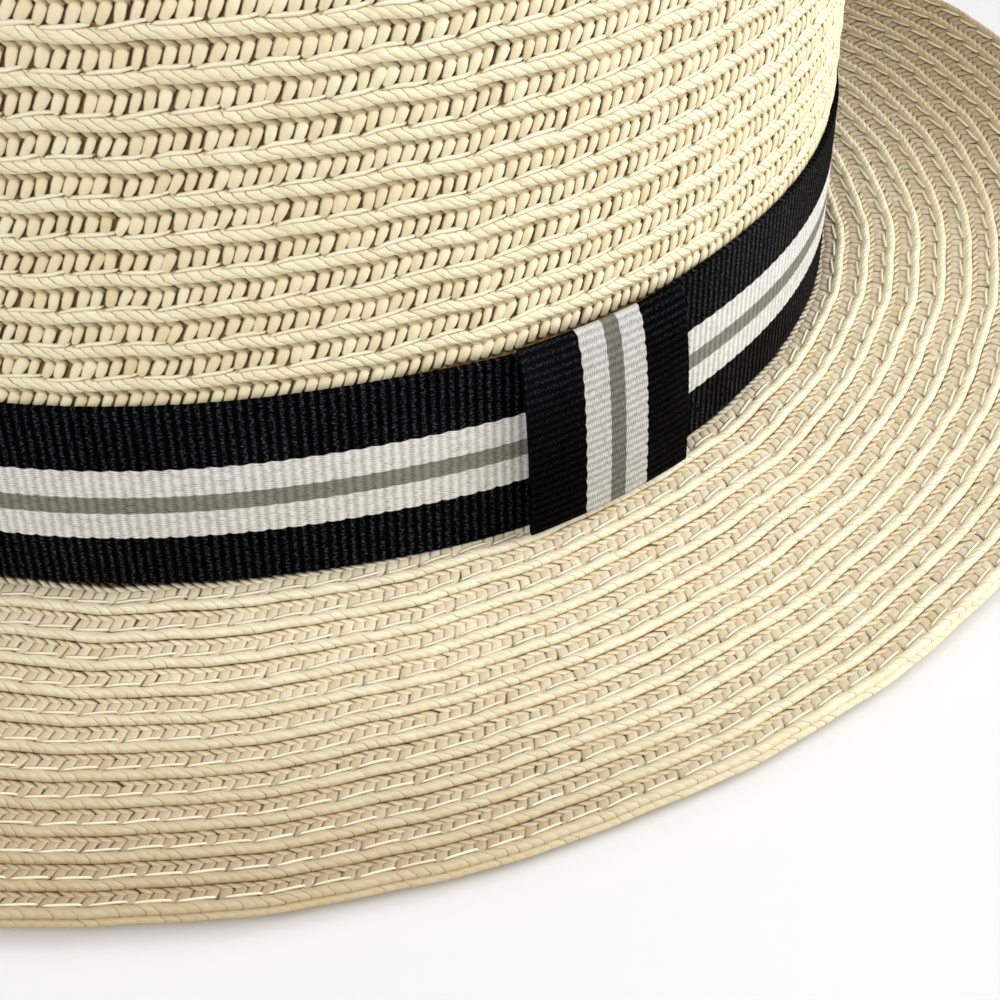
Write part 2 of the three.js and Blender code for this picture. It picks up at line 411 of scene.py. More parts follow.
@dataclass(frozen=True)
class CordFinish:
    """A nearly smooth straw cord: faint twisted strands, a few of them with a painted shadow line along one
    side, and shade painted towards its stitch and at its proud edge.

    It reads the place along a cord, counted in strands, the distance from its edge and its row's number.
    """

    name: str
    pale: Colour
    deep: Colour
    dull: Colour
    shade: Colour
    slant: float = 0.74
    sway: float = 1.2
    least_tone: float = 0.4
    line_share: float = 0.85
    line_from: float = 0.1
    line_reach: float = 0.95
    line_start: float = 0.84
    # Shade painted as a browner tone in the brim's dimmer zones.
    zone_shade_share: float = 0.0
    zone_shade: Colour = paint(176, 146, 98)
    relief: float = 0.00025
    relief_share: float = 0.6
    roughness_from: float = 0.38
    roughness_spread: float = 0.25

    def material(self) -> bpy.types.Material:
        """Makes the finish.

        Returns:
            The material.
        """
        sheet = NodeSheet(self.name)
        place = sheet.node("ShaderNodeAttribute", {"attribute_name": CORD_ATTRIBUTE}, {}, "Vector")
        along, across, row = sheet.parts(place)
        sway = sheet.grain(along * 0.35, across * 0.6, row * 7.0, 2.0)
        turn = along + across * self.slant + sway * self.sway
        strand = turn.floor()
        within = turn % 1.0
        tone = sheet.chance(strand * 1.7 + row * 91.0)
        mark = sheet.chance(strand * 3.1 + row * 37.0).rise(self.line_from, 0.9)
        fibre = sheet.grain(along * 0.5, across * 4.2 + along * 0.55, row * 17.0, 3.0)
        grain = sheet.grain(turn * 5.0, across * 0.9, row * 23.0, 3.0)
        # Painted shadow: a thin dark line along one side of some strands, where the next strand laps over
        # it.
        near = across.rise(self.line_reach + 0.4, self.line_reach - 0.4)
        line = within.rise(self.line_start, 1.0) * near * mark * self.line_share
        colour = sheet.mix(tone * (1 - self.least_tone) + self.least_tone, self.deep, self.pale)
        colour = sheet.mix(grain.rise(0.45, 0.75) * 0.5, colour, self.deep)
        # Fibre streaks in a dull tone that grow stronger towards the stitch: partly the straw's grain,
        # partly painted shade on that side.
        colour = sheet.mix(fibre.rise(0.52, 0.72) * across.rise(0.3, 1.0) * 0.55, colour, self.dull)
        # Painted shade at the proud edge, where the cord turns under.
        colour = sheet.mix(across.rise(0.35, 0.0) * 0.35, colour, self.deep)
        # Painted shade: the brim's dimmer zones browned.
        colour = sheet.mix(PAINTED_SHADE_ZONES.mask(sheet) * self.zone_shade_share, colour, self.zone_shade)
        colour = sheet.mix(line, colour, self.shade)
        relief = (within * math.pi).sine() * 0.5 + fibre * 0.3 + grain * 0.2
        return sheet.surface({
            "Base Color": colour,
            "Roughness": grain * self.roughness_spread + self.roughness_from,
            "Normal": sheet.bump(relief, self.relief_share, self.relief),
        })


@dataclass(frozen=True)
class BackingFinish:
    """The braid's back: a dark painted shade outside, where it shows in the gaps, and inside a herringbone
    of flat straw with shade painted in its creases and on the steps between rows.
    """

    name: str
    # Painted shade: the dark brown that shows in the gaps between strands.
    gap: Colour
    pale: Colour
    deep: Colour
    round_length: float
    rings: int
    pitch: float
    strand_pitch: float = 1.9
    fold_slope: float = 2.2
    relief: float = 0.0005
    relief_share: float = 0.6
    roughness: float = 0.62

    def material(self) -> bpy.types.Material:
        """Makes the finish.

        Returns:
            The material.
        """
        sheet = NodeSheet(self.name)
        flat = sheet.node("ShaderNodeUVMap", {"uv_map": UV_MAP}, {})
        round_share, row_share, _ = sheet.parts(flat)
        inside = round_share.rise(0.499, 0.501)
        along = (round_share * 2.0 % 1.0) * self.round_length
        up = (row_share * self.rings % 2.0).least(1.0)
        fold = abs(up - 0.5) * (self.fold_slope * self.pitch / self.strand_pitch)
        cell = along / self.strand_pitch + fold * 0.5
        ridge = abs(cell % 1.0 - 0.5) * 2.0
        tone = sheet.chance(cell.floor() * 7.31 + (row_share * (self.rings / 2)).floor() * 131.7)
        streak = sheet.noise(sheet.vector(along, up * 3.0, tone), 2.0, 3.0)
        straw = sheet.mix(tone * 0.7 + streak * 0.4, self.deep, self.pale)
        # Painted shade in the creases between strands and on the steps between rows.
        straw = sheet.mix(ridge.rise(0.7, 1.0) * 0.7, straw, self.gap)
        straw = sheet.mix(up.rise(0.9, 1.0) * 0.6, straw, self.gap)
        height = (1.0 - ridge * ridge) * 0.8 + streak * 0.2
        return sheet.surface({
            # Painted shade outside, straw inside.
            "Base Color": sheet.mix(inside, self.gap, straw),
            "Roughness": self.roughness,
            "Normal": sheet.bump(height, self.relief_share, self.relief),
        })


class Weave(NamedTuple):
    """A ribbon's weave: its ribs, its yarns, the wander of both, and the shade painted between them along
    with a random mottle.
    """

    rib: Value
    yarn: Value
    wander: Value
    shade: Value


@dataclass(frozen=True)
class RibbonFinish:
    """Striped grosgrain: stripes with scalloped borders over cords that run from edge to edge."""

    name: str
    length: float
    width: float = 32.0
    cord: float = 1.3
    lower_white: float = 9.0
    lower_grey: float = 13.4
    upper_grey: float = 16.4
    upper_white: float = 21.1
    scallop: float = 0.24
    step_share: float = 0.6
    border: float = 0.07
    yarn: float = 0.41
    unevenness: float = 0.9
    # Painted sheen on the black: light flecks on the rib crests, and a slow drift of wear and sheen.
    sheen_fleck_share: float = 0.5
    wear_and_sheen_share: float = 0.012
    wear_and_sheen_size: float = 40.0
    fold_from: float = 2.0
    fold_reach: float = 0.3
    relief: float = 0.00025
    relief_share: float = 0.5
    roughness: float = 0.62
    roughness_spread: float = 0.2
    gloss: float = 0.012
    black: Colour = paint(2, 2, 3)
    # Colour of the painted sheen on the black.
    sheen_fleck: Colour = paint(126, 131, 140)
    white: Colour = paint(250, 249, 246)
    white_shade: Colour = paint(150, 148, 143)
    grey: Colour = paint(152, 152, 141)
    grey_shade: Colour = paint(74, 75, 67)

    def material(self) -> bpy.types.Material:
        """Makes the finish.

        Returns:
            The material.
        """
        sheet = NodeSheet(self.name)
        flat = sheet.node("ShaderNodeUVMap", {"uv_map": UV_MAP}, {})
        along_share, across_share, _ = sheet.parts(flat)
        along = along_share * self.length
        across = across_share * self.width
        fold = along_share.rise(self.fold_from, self.fold_from + self.fold_reach)

        pale, middle = self.stripes(along, across)
        weave = self.weave(sheet, along, across)
        white = sheet.mix(weave.shade, self.white, self.white_shade)
        grey = sheet.mix(weave.shade, self.grey, self.grey_shade)
        # The black with its painted sheen.
        dark = sheet.mix(self.glint(sheet, along, across, weave, fold), self.black, self.sheen_fleck)
        height = weave.rib * 0.5 + weave.yarn * 0.3 + weave.wander * 0.2
        return sheet.surface({
            "Base Color": sheet.mix(middle, sheet.mix(pale, dark, white), grey),
            "Roughness": self.roughness - weave.wander * self.roughness_spread,
            "Specular IOR Level": self.gloss,
            "Normal": sheet.bump(height, self.relief_share, self.relief),
        })

    def stripes(self, along: Value, across: Value) -> tuple[Value, Value]:
        """Marks the stripes, whose borders are scalloped.

        Args:
            along: Place along the ribbon.
            across: Place across it.

        Returns:
            The pale stripe, and the grey one in its middle.
        """
        lobe = abs((along * (math.pi / (2 * self.cord))).sine())
        bulge = lobe * self.scallop
        pale = self.between(across, self.lower_white - bulge, bulge + self.upper_white)
        step = (lobe - 0.5) * (self.scallop * self.step_share)
        return pale, self.between(across, step + self.lower_grey, step + self.upper_grey)

    def weave(self, sheet: NodeSheet, along: Value, across: Value) -> Weave:
        """Weaves ribs from edge to edge, with yarns that turn over them.

        Args:
            sheet: The material's nodes.
            along: Place along the ribbon.
            across: Place across it.

        Returns:
            The weave, with shares from 0 to 1.
        """
        beat = sheet.grain(along * 0.9, across * 1.7, 5.0, 3.0)
        wander = sheet.grain(along * 1.1, across * 3.4, 0.0, 3.0)
        beaten = along + (beat - 0.5) * self.unevenness
        cord_number = (beaten / self.cord).floor()
        crest = (beaten * (math.pi / self.cord)).sine()
        rib = crest * crest
        place = across / self.yarn + (cord_number % 2.0) * 0.5 + wander * 0.9
        yarn = abs((place * math.pi).sine())
        own = sheet.chance(place.floor() * 17.3 + cord_number * 3.7)
        gap = yarn.rise(0.7, 0.0) * own.rise(-0.1, 0.8)
        # Painted shade in the valleys between ribs and the gaps between yarns, with a random mottle from the
        # wander.
        shade = (1.0 - rib) * 0.4 + gap * 0.75 + wander.rise(0.52, 0.75) * 0.3
        return Weave(rib, yarn, wander, shade.least(1.0))

    def glint(self, sheet: NodeSheet, along: Value, across: Value, weave: Weave, fold: Value) -> Value:
        """Gives the black's painted sheen: light flecks on the rib crests, stronger on the fold and in slow
        drifts, with a faint slow greying from wear and sheen.

        Args:
            sheet: The material's nodes.
            along: Place along the ribbon.
            across: Place across it.
            weave: The ribbon's weave.
            fold: 1 where the ribbon folds back and catches more light.

        Returns:
            Shares of the painted sheen's colour.
        """
        wear_and_sheen = sheet.grain(along / self.wear_and_sheen_size, across / self.wear_and_sheen_size, 3.0, 2.0)
        shine = wear_and_sheen.rise(0.3, 0.7) * 0.6 + fold * 0.8 + 0.4
        grain = sheet.grain(along * 2.2, across * 3.0, 9.0, 2.0)
        dash = weave.rib.rise(0.3, 1.0) * (weave.yarn * 0.5 + 0.5) * grain.rise(0.4, 0.74)
        return (dash * shine * self.sheen_fleck_share + wear_and_sheen.rise(0.45, 0.7) * self.wear_and_sheen_share).least(1.0)

    def between(self, across: Value, low: Value, high: Value) -> Value:
        """Marks the stripe between two borders.

        Args:
            across: Place across the ribbon.
            low: The stripe's lower border.
            high: The stripe's upper border.

        Returns:
            1 inside the stripe and 0 outside.
        """
        over = across.rise(low - self.border, low + self.border)
        return over * across.rise(high + self.border, high - self.border)


@dataclass(frozen=True)
class FloorFinish:
    """A plain pale matt surface."""

    name: str = "pale_floor"
    colour: Colour = (0.86, 0.865, 0.875)
    soft_share: float = 0.985
    roughness: float = 0.8

    def material(self) -> bpy.types.Material:
        """Makes the finish.

        Returns:
            The material.
        """
        sheet = NodeSheet(self.name)
        place = sheet.node("ShaderNodeTexCoord", {}, {}, "Object")
        mottle = sheet.noise(place, 3.0, 2.0)
        soft = tuple(channel * self.soft_share for channel in self.colour)
        colour = sheet.mix(mottle, self.colour, soft)
        return sheet.surface({"Base Color": colour, "Roughness": self.roughness})


# Crown teeth: painted shade in the lines between them and at their ends.
CROWN_STRAW = StrawFinish(
    name="crown_straw",
    pale=paint(251, 241, 207),
    deep=paint(234, 216, 172),
    blush=paint(242, 219, 182),
    shade=paint(116, 84, 42),
    edge_share=0.9,
    end_share=0.25,
)
# Painted shadow lines along the strands, across the whole of the crown's cords.
CROWN_CORD = CordFinish(
    name="crown_cord",
    pale=paint(252, 243, 210),
    deep=paint(236, 219, 176),
    dull=paint(218, 201, 156),
    shade=paint(98, 70, 34),
    slant=0.66,
    line_share=1.0,
    line_from=-0.7,
    line_reach=2.4,
    relief=0.0004,
)
# The brim's cords, browned as painted shade in the dimmer zones.
BRIM_CORD = CordFinish(
    name="brim_cord",
    pale=paint(254, 247, 219),
    deep=paint(235, 220, 182),
    dull=paint(212, 197, 156),
    shade=paint(124, 92, 46),
    zone_shade_share=0.7,
)
# Tiles: a pinker straw a little darker than the cords, partly their own tone and partly painted shade, and
# browned in the dimmer zones.
TILE_STRAW = StrawFinish(
    name="tile_straw",
    pale=paint(243, 231, 205),
    deep=paint(220, 202, 168),
    blush=paint(232, 210, 186),
    shade=paint(118, 86, 48),
    edge_share=0.36,
    zone_shade_share=0.6,
)
# Back strands: like the tiles, with the next cord's shadow painted near their root.
BACK_STRAW = StrawFinish(
    name="back_straw",
    pale=paint(246, 234, 204),
    deep=paint(227, 209, 170),
    blush=paint(234, 211, 182),
    shade=paint(116, 82, 42),
    edge_share=0.36,
    root_share=0.9,
    root_reach=0.36,
    zone_shade_share=0.6,
)
# Under strands: a darker copy of the crown's straw, painted shade under the next row's cord, with its shadow
# painted near their root.
UNDER_STRAW = StrawFinish(
    name="under_straw",
    pale=paint(236, 220, 182),
    deep=paint(216, 194, 150),
    blush=paint(226, 200, 164),
    shade=paint(108, 76, 38),
    root_share=0.9,
    root_reach=0.42,
)
# Stitches: painted shade at their ends, where they dive into the braid.
THREAD = StrawFinish(
    name="sewing_thread",
    pale=paint(253, 246, 220),
    deep=paint(245, 232, 196),
    blush=paint(248, 237, 208),
    shade=paint(190, 160, 110),
    edge_share=0.3,
    end_share=0.6,
    streak_share=0.15,
    roughness_from=0.3,
)


# The hat's faces


@dataclass(frozen=True)
class Head:
    """The oval of the head line, and how the hat sits on the surface under it. Millimetres and degrees."""

    half_width: float = 85.0
    half_length: float = 102.0
    lean_back: float = 2.0
    line_height: float = 6.3
    setback: float = -0.1

    def outward(self, angle: Array) -> tuple[Array, Array]:
        """Gives the outward direction in plan.

        Args:
            angle: Ellipse parameters from the hat's left side towards its back.

        Returns:
            The direction's two parts.
        """
        x = np.cos(angle) / self.half_width
        y = np.sin(angle) / self.half_length
        size = np.hypot(x, y)
        return x / size, y / size

    def beside(self, angle: Array, out: Array, height: Array) -> Array:
        """Places points outside the oval.

        Args:
            angle: Ellipse parameters.
            out: Distances outside the oval.
            height: Heights over the head line.

        Returns:
            Points in the head line's frame.
        """
        way_x, way_y = self.outward(angle)
        x = self.half_width * np.cos(angle) + way_x * out
        y = self.half_length * np.sin(angle) + way_y * out
        return np.stack(np.broadcast_arrays(x, y, height), axis=-1)

    def seat(self, points: Array) -> Array:
        """Moves points from the head line's frame to the resting hat's frame.

        Args:
            points: Points over the head line.

        Returns:
            The same points over the surface that the hat rests on.
        """
        lean = math.radians(-self.lean_back)
        x, y, z = np.moveaxis(points, -1, 0)
        back = y * math.cos(lean) - z * math.sin(lean) + self.setback
        up = y * math.sin(lean) + z * math.cos(lean) + self.line_height
        return np.stack((x, back, up), axis=-1)

    def seating(self) -> Matrix:
        """The same move as a matrix, in metres."""
        shift = Matrix.Translation(Vector((0.0, self.setback, self.line_height)) * MM)
        return shift @ Matrix.Rotation(math.radians(-self.lean_back), 4, "X")

    def turn_from_front(self, angle: Array) -> Array:
        """Degrees from the front, 0 to 180, alike on both sides."""
        turned = np.mod(np.degrees(angle) + 90, 360)
        return np.where(turned > 180, 360 - turned, turned)


HEAD = Head()


class StrawFace:
    """A face that braid rows are laid on, read by an angle round the head and a length along the straw."""

    up_side = 1.0
    last_length = math.inf
    angle_step = 0.004
    length_step = 0.4
    ring_steps = 1440

    def face(self, angle: Array, length: Array) -> Array:
        """Gives the face's points, in millimetres, in the resting hat's frame.

        Args:
            angle: Ellipse parameters.
            length: Lengths along the straw from the head line.

        Returns:
            Points of the bare face.
        """
        raise NotImplementedError

    def place(self, angle: Array, length: Array, offset: Array) -> Array:
        """Places points off the face along its normal.

        Args:
            angle: Ellipse parameters.
            length: Lengths along the straw from the head line.
            offset: Heights over the face.

        Returns:
            Points in millimetres.
        """
        length = np.minimum(length, self.last_length)
        round_way = self.face(angle + self.angle_step, length) - self.face(angle - self.angle_step, length)
        long_way = self.face(angle, length) - self.face(angle, length - self.length_step)
        normal = np.cross(round_way, long_way) * self.up_side
        normal /= np.linalg.norm(normal, axis=-1, keepdims=True)
        return self.face(angle, length) + normal * np.asarray(offset)[..., None]

    def ring(self, length: float) -> tuple[Array, Array]:
        """Measures one ring.

        Args:
            length: Length along the straw.

        Returns:
            Distances round the ring, and the angles that they belong to.
        """
        angles = np.linspace(0, 2 * math.pi, self.ring_steps + 1)
        points = self.face(angles, np.full_like(angles, length))
        steps = np.linalg.norm(np.diff(points, axis=0), axis=1)
        return np.concatenate(([0.0], np.cumsum(steps))), angles


@dataclass(frozen=True)
class CrownFace(StrawFace):
    """The crown's outer face: upright wall, round shoulder, low dome, centre crease and front pinches."""

    wall: float = 86.0
    taper: float = 0.03
    shoulder: float = 17.0
    dome: float = 4.0
    tip: float = 1.5
    tip_gap: float = 0.05
    fall: float = 3.0
    crease_depth: float = 20.0
    crease_front: float = 15.0
    crease_back: float = 29.0
    crease_fade_from: float = 58.0
    crease_fade_to: float = 95.0
    crease_end_share: float = 0.35
    pinch_turn: float = 26.0
    pinch_spread: float = 13.0
    pinch_depth: float = 12.0
    pinch_lowest: float = 42.0
    pinch_full: float = 92.0
    pinch_reach: float = 36.0
    dent_start: float = 66.0

    @property
    def wall_inset(self) -> float:
        """How far the wall leans in at its top."""
        return self.taper * self.wall

    @property
    def shoulder_length(self) -> float:
        """Length of the shoulder's quarter round."""
        return math.pi / 2 * self.shoulder

    @property
    def top_length(self) -> float:
        """Length from the shoulder to the tip."""
        return HEAD.half_width - self.tip - self.wall_inset - self.shoulder

    @property
    def whole_length(self) -> float:
        """Length from the head line to the tip."""
        return self.wall + self.shoulder_length + self.top_length

    @property
    def last_length(self) -> float:
        """Length at which the two sides of the tip meet, but for a hair."""
        return self.whole_length + self.tip - self.tip_gap

    def face(self, angle: Array, length: Array) -> Array:
        """Gives the dented crown's points, in millimetres, in the resting hat's frame.

        Args:
            angle: Ellipse parameters.
            length: Lengths up the straw from the head line.

        Returns:
            Points of the crown's outer face.
        """
        wall = np.minimum(length, self.wall)
        bend = np.clip(length - self.wall, 0, self.shoulder_length) / self.shoulder
        along = np.clip(length - self.wall - self.shoulder_length, 0, self.top_length + self.tip)
        inset = self.taper * wall + self.shoulder * (1 - np.cos(bend)) + along
        rise = self.dome * np.sin(math.pi / 2 * np.minimum(along / self.top_length, 1))
        height = wall + self.shoulder * np.sin(bend) + rise
        x = (HEAD.half_width - inset) * np.cos(angle)
        y = (HEAD.half_length - inset) * np.sin(angle)
        pinch = self.pinch(angle, height, inset)
        way_x, way_y = HEAD.outward(angle)
        points = (x - way_x * pinch, y - way_y * pinch, height - self.sink(x, y, height))
        return HEAD.seat(np.stack(points, axis=-1))

    def sink(self, x: Array, y: Array, height: Array) -> Array:
        """Gives the depth of the centre crease and of the fall to the back.

        Args:
            x: Places across the head.
            y: Places along the head.
            height: Heights over the head line.

        Returns:
            Depths below the undented crown.
        """
        share = smoothstep(height, self.dent_start, self.wall + self.shoulder)
        along_head = (y / HEAD.half_length + 1) / 2
        half_width = self.crease_front + (self.crease_back - self.crease_front) * along_head
        ends = smoothstep(np.abs(y), self.crease_fade_from, self.crease_fade_to)
        fade = 1 - (1 - self.crease_end_share) * ends
        crease = self.crease_depth * np.exp(-((x / half_width) ** 2)) * fade
        return share * (crease + self.fall * y / HEAD.half_length)

    def pinch(self, angle: Array, height: Array, inset: Array) -> Array:
        """Gives the depth of the two front pinches.

        Args:
            angle: Ellipse parameters.
            height: Heights over the head line.
            inset: Distances inside the head oval.

        Returns:
            Depths towards the inside of the crown.
        """
        turn = HEAD.turn_from_front(angle)
        round_share = np.exp(-(((turn - self.pinch_turn) / self.pinch_spread) ** 2))
        rise = smoothstep(height, self.pinch_lowest, self.pinch_full)
        over_top = 1 - smoothstep(inset, self.shoulder, self.shoulder + self.pinch_reach)
        return self.pinch_depth * round_share * rise * over_top


class BrimStation(NamedTuple):
    """The brim's slopes at one turn from the front, in degrees."""

    turn: float
    root_slope: float
    edge_slope: float


BRIM_STATIONS = (
    BrimStation(0, -16.4, -4.0),
    BrimStation(30, -21.0, 4.0),
    BrimStation(60, -19.8, 8.7),
    BrimStation(90, -15.0, 8.7),
    BrimStation(120, -9.0, 11.0),
    BrimStation(150, 1.0, 14.0),
    BrimStation(180, 5.8, 15.6),
)


@dataclass(frozen=True)
class BrimFace(StrawFace):
    """The brim's upper face: it falls from the head line and lifts again towards its edge."""

    up_side = -1.0
    width: float = 55.4
    collar_out: float = -0.9

    def slope(self, turn: Array, column: str) -> Array:
        """Reads a column of the stations smoothly between its rows.

        Args:
            turn: Degrees from the front.
            column: The column's name.

        Returns:
            Slopes in radians.
        """
        given = np.array([getattr(station, column) for station in BRIM_STATIONS])
        knots = np.concatenate((given[1:2], given, given[-2:-1]))
        gap = BRIM_STATIONS[1].turn
        index = np.minimum((turn / gap).astype(int), len(given) - 2)
        share = turn / gap - index
        before, start, end, after = (knots[index + i] for i in range(4))
        bend = 2 * before - 5 * start + 4 * end - after
        turn_over = -before + 3 * start - 3 * end + after
        return np.radians(start + 0.5 * share * (end - before + share * (bend + share * turn_over)))

    def face(self, angle: Array, length: Array) -> Array:
        """Gives the brim's points, in millimetres, in the resting hat's frame.

        Args:
            angle: Ellipse parameters.
            length: Lengths out along the straw from the head line, less than 0 on the collar.

        Returns:
            Points of the brim's upper face.
        """
        turn = HEAD.turn_from_front(angle)
        root = self.slope(turn, "root_slope")
        edge = self.slope(turn, "edge_slope")
        curl = (edge - root) / self.width
        run = np.maximum(length, 0)
        out = (np.sin(root + curl * run) - np.sin(root)) / curl
        height = (np.cos(root) - np.cos(root + curl * run)) / curl
        rise = np.maximum(-length, 0)
        out = np.where(rise > 0, self.collar_out * np.minimum(rise, 1), out)
        return HEAD.seat(HEAD.beside(angle, out, height + rise))


# Strands


class Section(Enum):
    """Cross-sections of a strand, as side and height shares from its left edge to its right one."""

    ROUND = ((-1.0, 0.0), (0.0, 1.0), (1.0, 0.0))
    LAPPED = ((-1.0, 0.0), (0.55, 1.0), (1.0, 0.0))
    PLUMP = ((-1.0, 0.0), (-0.55, 0.92), (0.55, 0.92), (1.0, 0.0))


class Station(NamedTuple):
    """One place along a strand: along, across and over its row, half width and bulge. Millimetres."""

    along: float
    across: float
    lift: float
    half_width: float = 0.0
    bulge: float = 0.0


@dataclass(frozen=True)
class StrandShape:
    """One strand of the braid or one stitch, from tip to tip, and how far copies differ from it.

    The cover is the share of its half width that shows between its neighbours. A strand that follows the
    row has the same height wherever it is equally far across the row, so that neighbours meet evenly. The
    sections of a strand that is cut along lie along the row, and not square to the strand.
    """

    stations: tuple[Station, ...]
    pitch: float
    cover: float
    section: Section = Section.ROUND
    follows: bool = True
    cut_along: bool = False
    shift: float = 0.1
    sway: float = 0.08
    spread: float = 0.1
    tone_middle: float = 0.62
    tone_spread: float = 0.2

    def triangles(self) -> Array:
        """Gives the closed body's triangles.

        Returns:
            Vertex numbers, with the first tip's vertex first and the last tip's last.
        """
        ring = len(self.section.value)
        rings = len(self.stations) - 2
        faces = []
        for i in range(ring):
            here, there = 1 + i, 1 + (i + 1) % ring
            faces.append((0, there, here))
            for k in range(rings - 1):
                a, b = here + k * ring, there + k * ring
                faces.append((a, b, b + ring))
                faces.append((a, b + ring, a + ring))
            last = (rings - 1) * ring
            faces.append((here + last, there + last, 1 + rings * ring))
        return np.array(faces)

    def height(self, across: Array, centre: Array) -> Array:
        """Reads the strand's height over the row.

        Args:
            across: Places across the row.
            centre: Heights of the centre line there.

        Returns:
            Heights without the section's bulge.
        """
        if not self.follows:
            return centre
        body = sorted(self.stations[1:-1], key=lambda station: station.across)
        _, places, lifts, _, _ = np.array(body).T
        return np.interp(across, places, lifts)

    def rounded(self) -> Array:
        """Marks the triangles of the rounded top, which alone are shaded smoothly.

        Returns:
            True for each triangle of the top.
        """
        strip = 2 * (len(self.stations) - 2)
        sides = len(self.section.value)
        return np.repeat(np.arange(sides) < sides - 1, strip)

    def shares(self) -> Array:
        """Gives each vertex its place on the strand.

        Returns:
            Its share along the strand and its side, from -1 to 1.
        """
        count = len(self.stations)
        rows = [(0.0, 0.0)]
        for k in range(1, count - 1):
            rows += [(k / (count - 1), side) for side, _ in self.section.value]
        rows.append((1.0, 0.0))
        return np.array(rows)


class Batch(NamedTuple):
    """Strands of one row: points in millimetres by strand and vertex, and a tone for each strand."""

    points: Array
    tones: Array


@dataclass(frozen=True)
class BraidRow:
    """One row of braid: where its proud edge lies, and which way its width runs from there.

    Each row draws its own strands at random. Its wander is a sum of waves that the rows of a face share,
    each a little shifted from row to row.
    """

    face: StrawFace
    edge: float
    way: float
    pitch: float
    step: float
    wobble: float
    seed: int
    index: int
    floor: float = -math.inf

    lead_seed = 9000
    wave_seed = 5000
    wave_turns = (3, 7, 12, 19, 29, 41, 83)
    wave_shift = 0.07
    drift_turns = (4, 9, 17)
    drift_share = 0.14
    across_sway = 0.6

    def weave(self, shape: StrandShape) -> Batch:
        """Lays strands of one shape side by side along the row.

        Args:
            shape: The strand.

        Returns:
            The row's strands.
        """
        rng = np.random.default_rng(self.seed + self.index)
        distances, angles = self.face.ring(self.edge)
        whole = distances[-1]
        count = max(round(whole / shape.pitch), 3)
        start = (np.arange(count) + self.lead()) * whole / count
        start = start + rng.normal(0, shape.shift, count)
        along, across, lift, half_width, bulge = np.array(shape.stations).T
        middle = across.mean()
        sway = rng.normal(0, shape.sway, (count, 1))
        size = 1 + rng.normal(0, shape.spread, (count, 2))
        centre_u = start[:, None] + along + sway * (across - middle)
        centre_v = across + rng.normal(0, shape.sway * self.across_sway, (count, 1))
        centre = (centre_u, centre_v, np.broadcast_to(lift, centre_v.shape))
        u, v, h = self.bodies(shape, centre, half_width * size[:, :1], bulge * size[:, 1:])
        h = h - self.step * v / self.pitch
        wave = self.wave(u / whole)
        angle = np.interp(np.mod(u, whole), distances, angles)
        points = self.face.place(angle, self.edge + self.way * (v + wave), h)
        points[..., 2] = np.maximum(points[..., 2], self.floor)
        return Batch(points, self.tones(shape, start / whole, rng))

    def bodies(self, shape: StrandShape, centre: tuple[Array, Array, Array], half_width: Array,
               bulge: Array) -> tuple[Array, Array, Array]:
        """Gives strands their sections.

        Args:
            shape: The strand.
            centre: Its centre lines, along, across and over the row.
            half_width: Half widths by strand and station.
            bulge: Heights of the sections by strand and station.

        Returns:
            Places of all vertices along, across and over the row.
        """
        line_u, line_v, line_h = centre
        step_u = np.gradient(line_u, axis=1)
        step_v = np.gradient(line_v, axis=1)
        size = np.hypot(step_u, step_v)
        side_u, side_v = -step_v / size, step_u / size
        if shape.cut_along:
            side_u, side_v = -np.sign(step_v), np.zeros_like(step_v)
        columns_u, columns_v, columns_h = [line_u[:, :1]], [line_v[:, :1]], [line_h[:, :1]]
        for k in range(1, line_u.shape[1] - 1):
            for side, height in shape.section.value:
                reach = -side * half_width[:, k]
                across = line_v[:, k] + side_v[:, k] * reach
                columns_u.append((line_u[:, k] + side_u[:, k] * reach)[:, None])
                columns_v.append(across[:, None])
                columns_h.append((shape.height(across, line_h[:, k]) + height * bulge[:, k])[:, None])
        columns_u.append(line_u[:, -1:])
        columns_v.append(line_v[:, -1:])
        columns_h.append(line_h[:, -1:])
        return np.hstack(columns_u), np.hstack(columns_v), np.hstack(columns_h)

    def lead(self) -> float:
        """Gives the share of a strand's width that lies before the row's first strand."""
        return float(np.random.default_rng(self.seed + self.index + self.lead_seed).uniform())

    def wave(self, share: Array) -> Array:
        """Gives the row's wander from its line, much like that of the rows beside it.

        Args:
            share: Places round the ring, from 0 to 1.

        Returns:
            Distances across the row.
        """
        rng = np.random.default_rng(self.seed + self.wave_seed)
        total = np.zeros_like(share)
        for turns in self.wave_turns:
            start = rng.uniform() + self.index * rng.normal(0, self.wave_shift)
            total += rng.normal(0, self.wobble) * np.sin(2 * math.pi * (turns * share + start))
        return total

    def wander(self, angle: Array) -> Array:
        """Gives the row's wander along the straw.

        Args:
            angle: Ellipse parameters.

        Returns:
            Lengths to add to the row's own.
        """
        distances, angles = self.face.ring(self.edge)
        return self.way * self.wave(np.interp(angle, angles, distances) / distances[-1])

    def tones(self, shape: StrandShape, share: Array, rng: np.random.Generator) -> Array:
        """Gives each strand a tone, with slow drifts along the row.

        Args:
            shape: The strand.
            share: Places round the ring, from 0 to 1.
            rng: The row's random numbers.

        Returns:
            Tones from 0 to 1.
        """
        waves = [np.sin(2 * math.pi * (turns * share + rng.uniform())) for turns in self.drift_turns]
        drift = self.drift_share * sum(waves) / len(waves)
        spread = rng.normal(0, shape.tone_spread, len(share))
        return np.clip(shape.tone_middle + drift + spread, 0, 1)


# Pieces


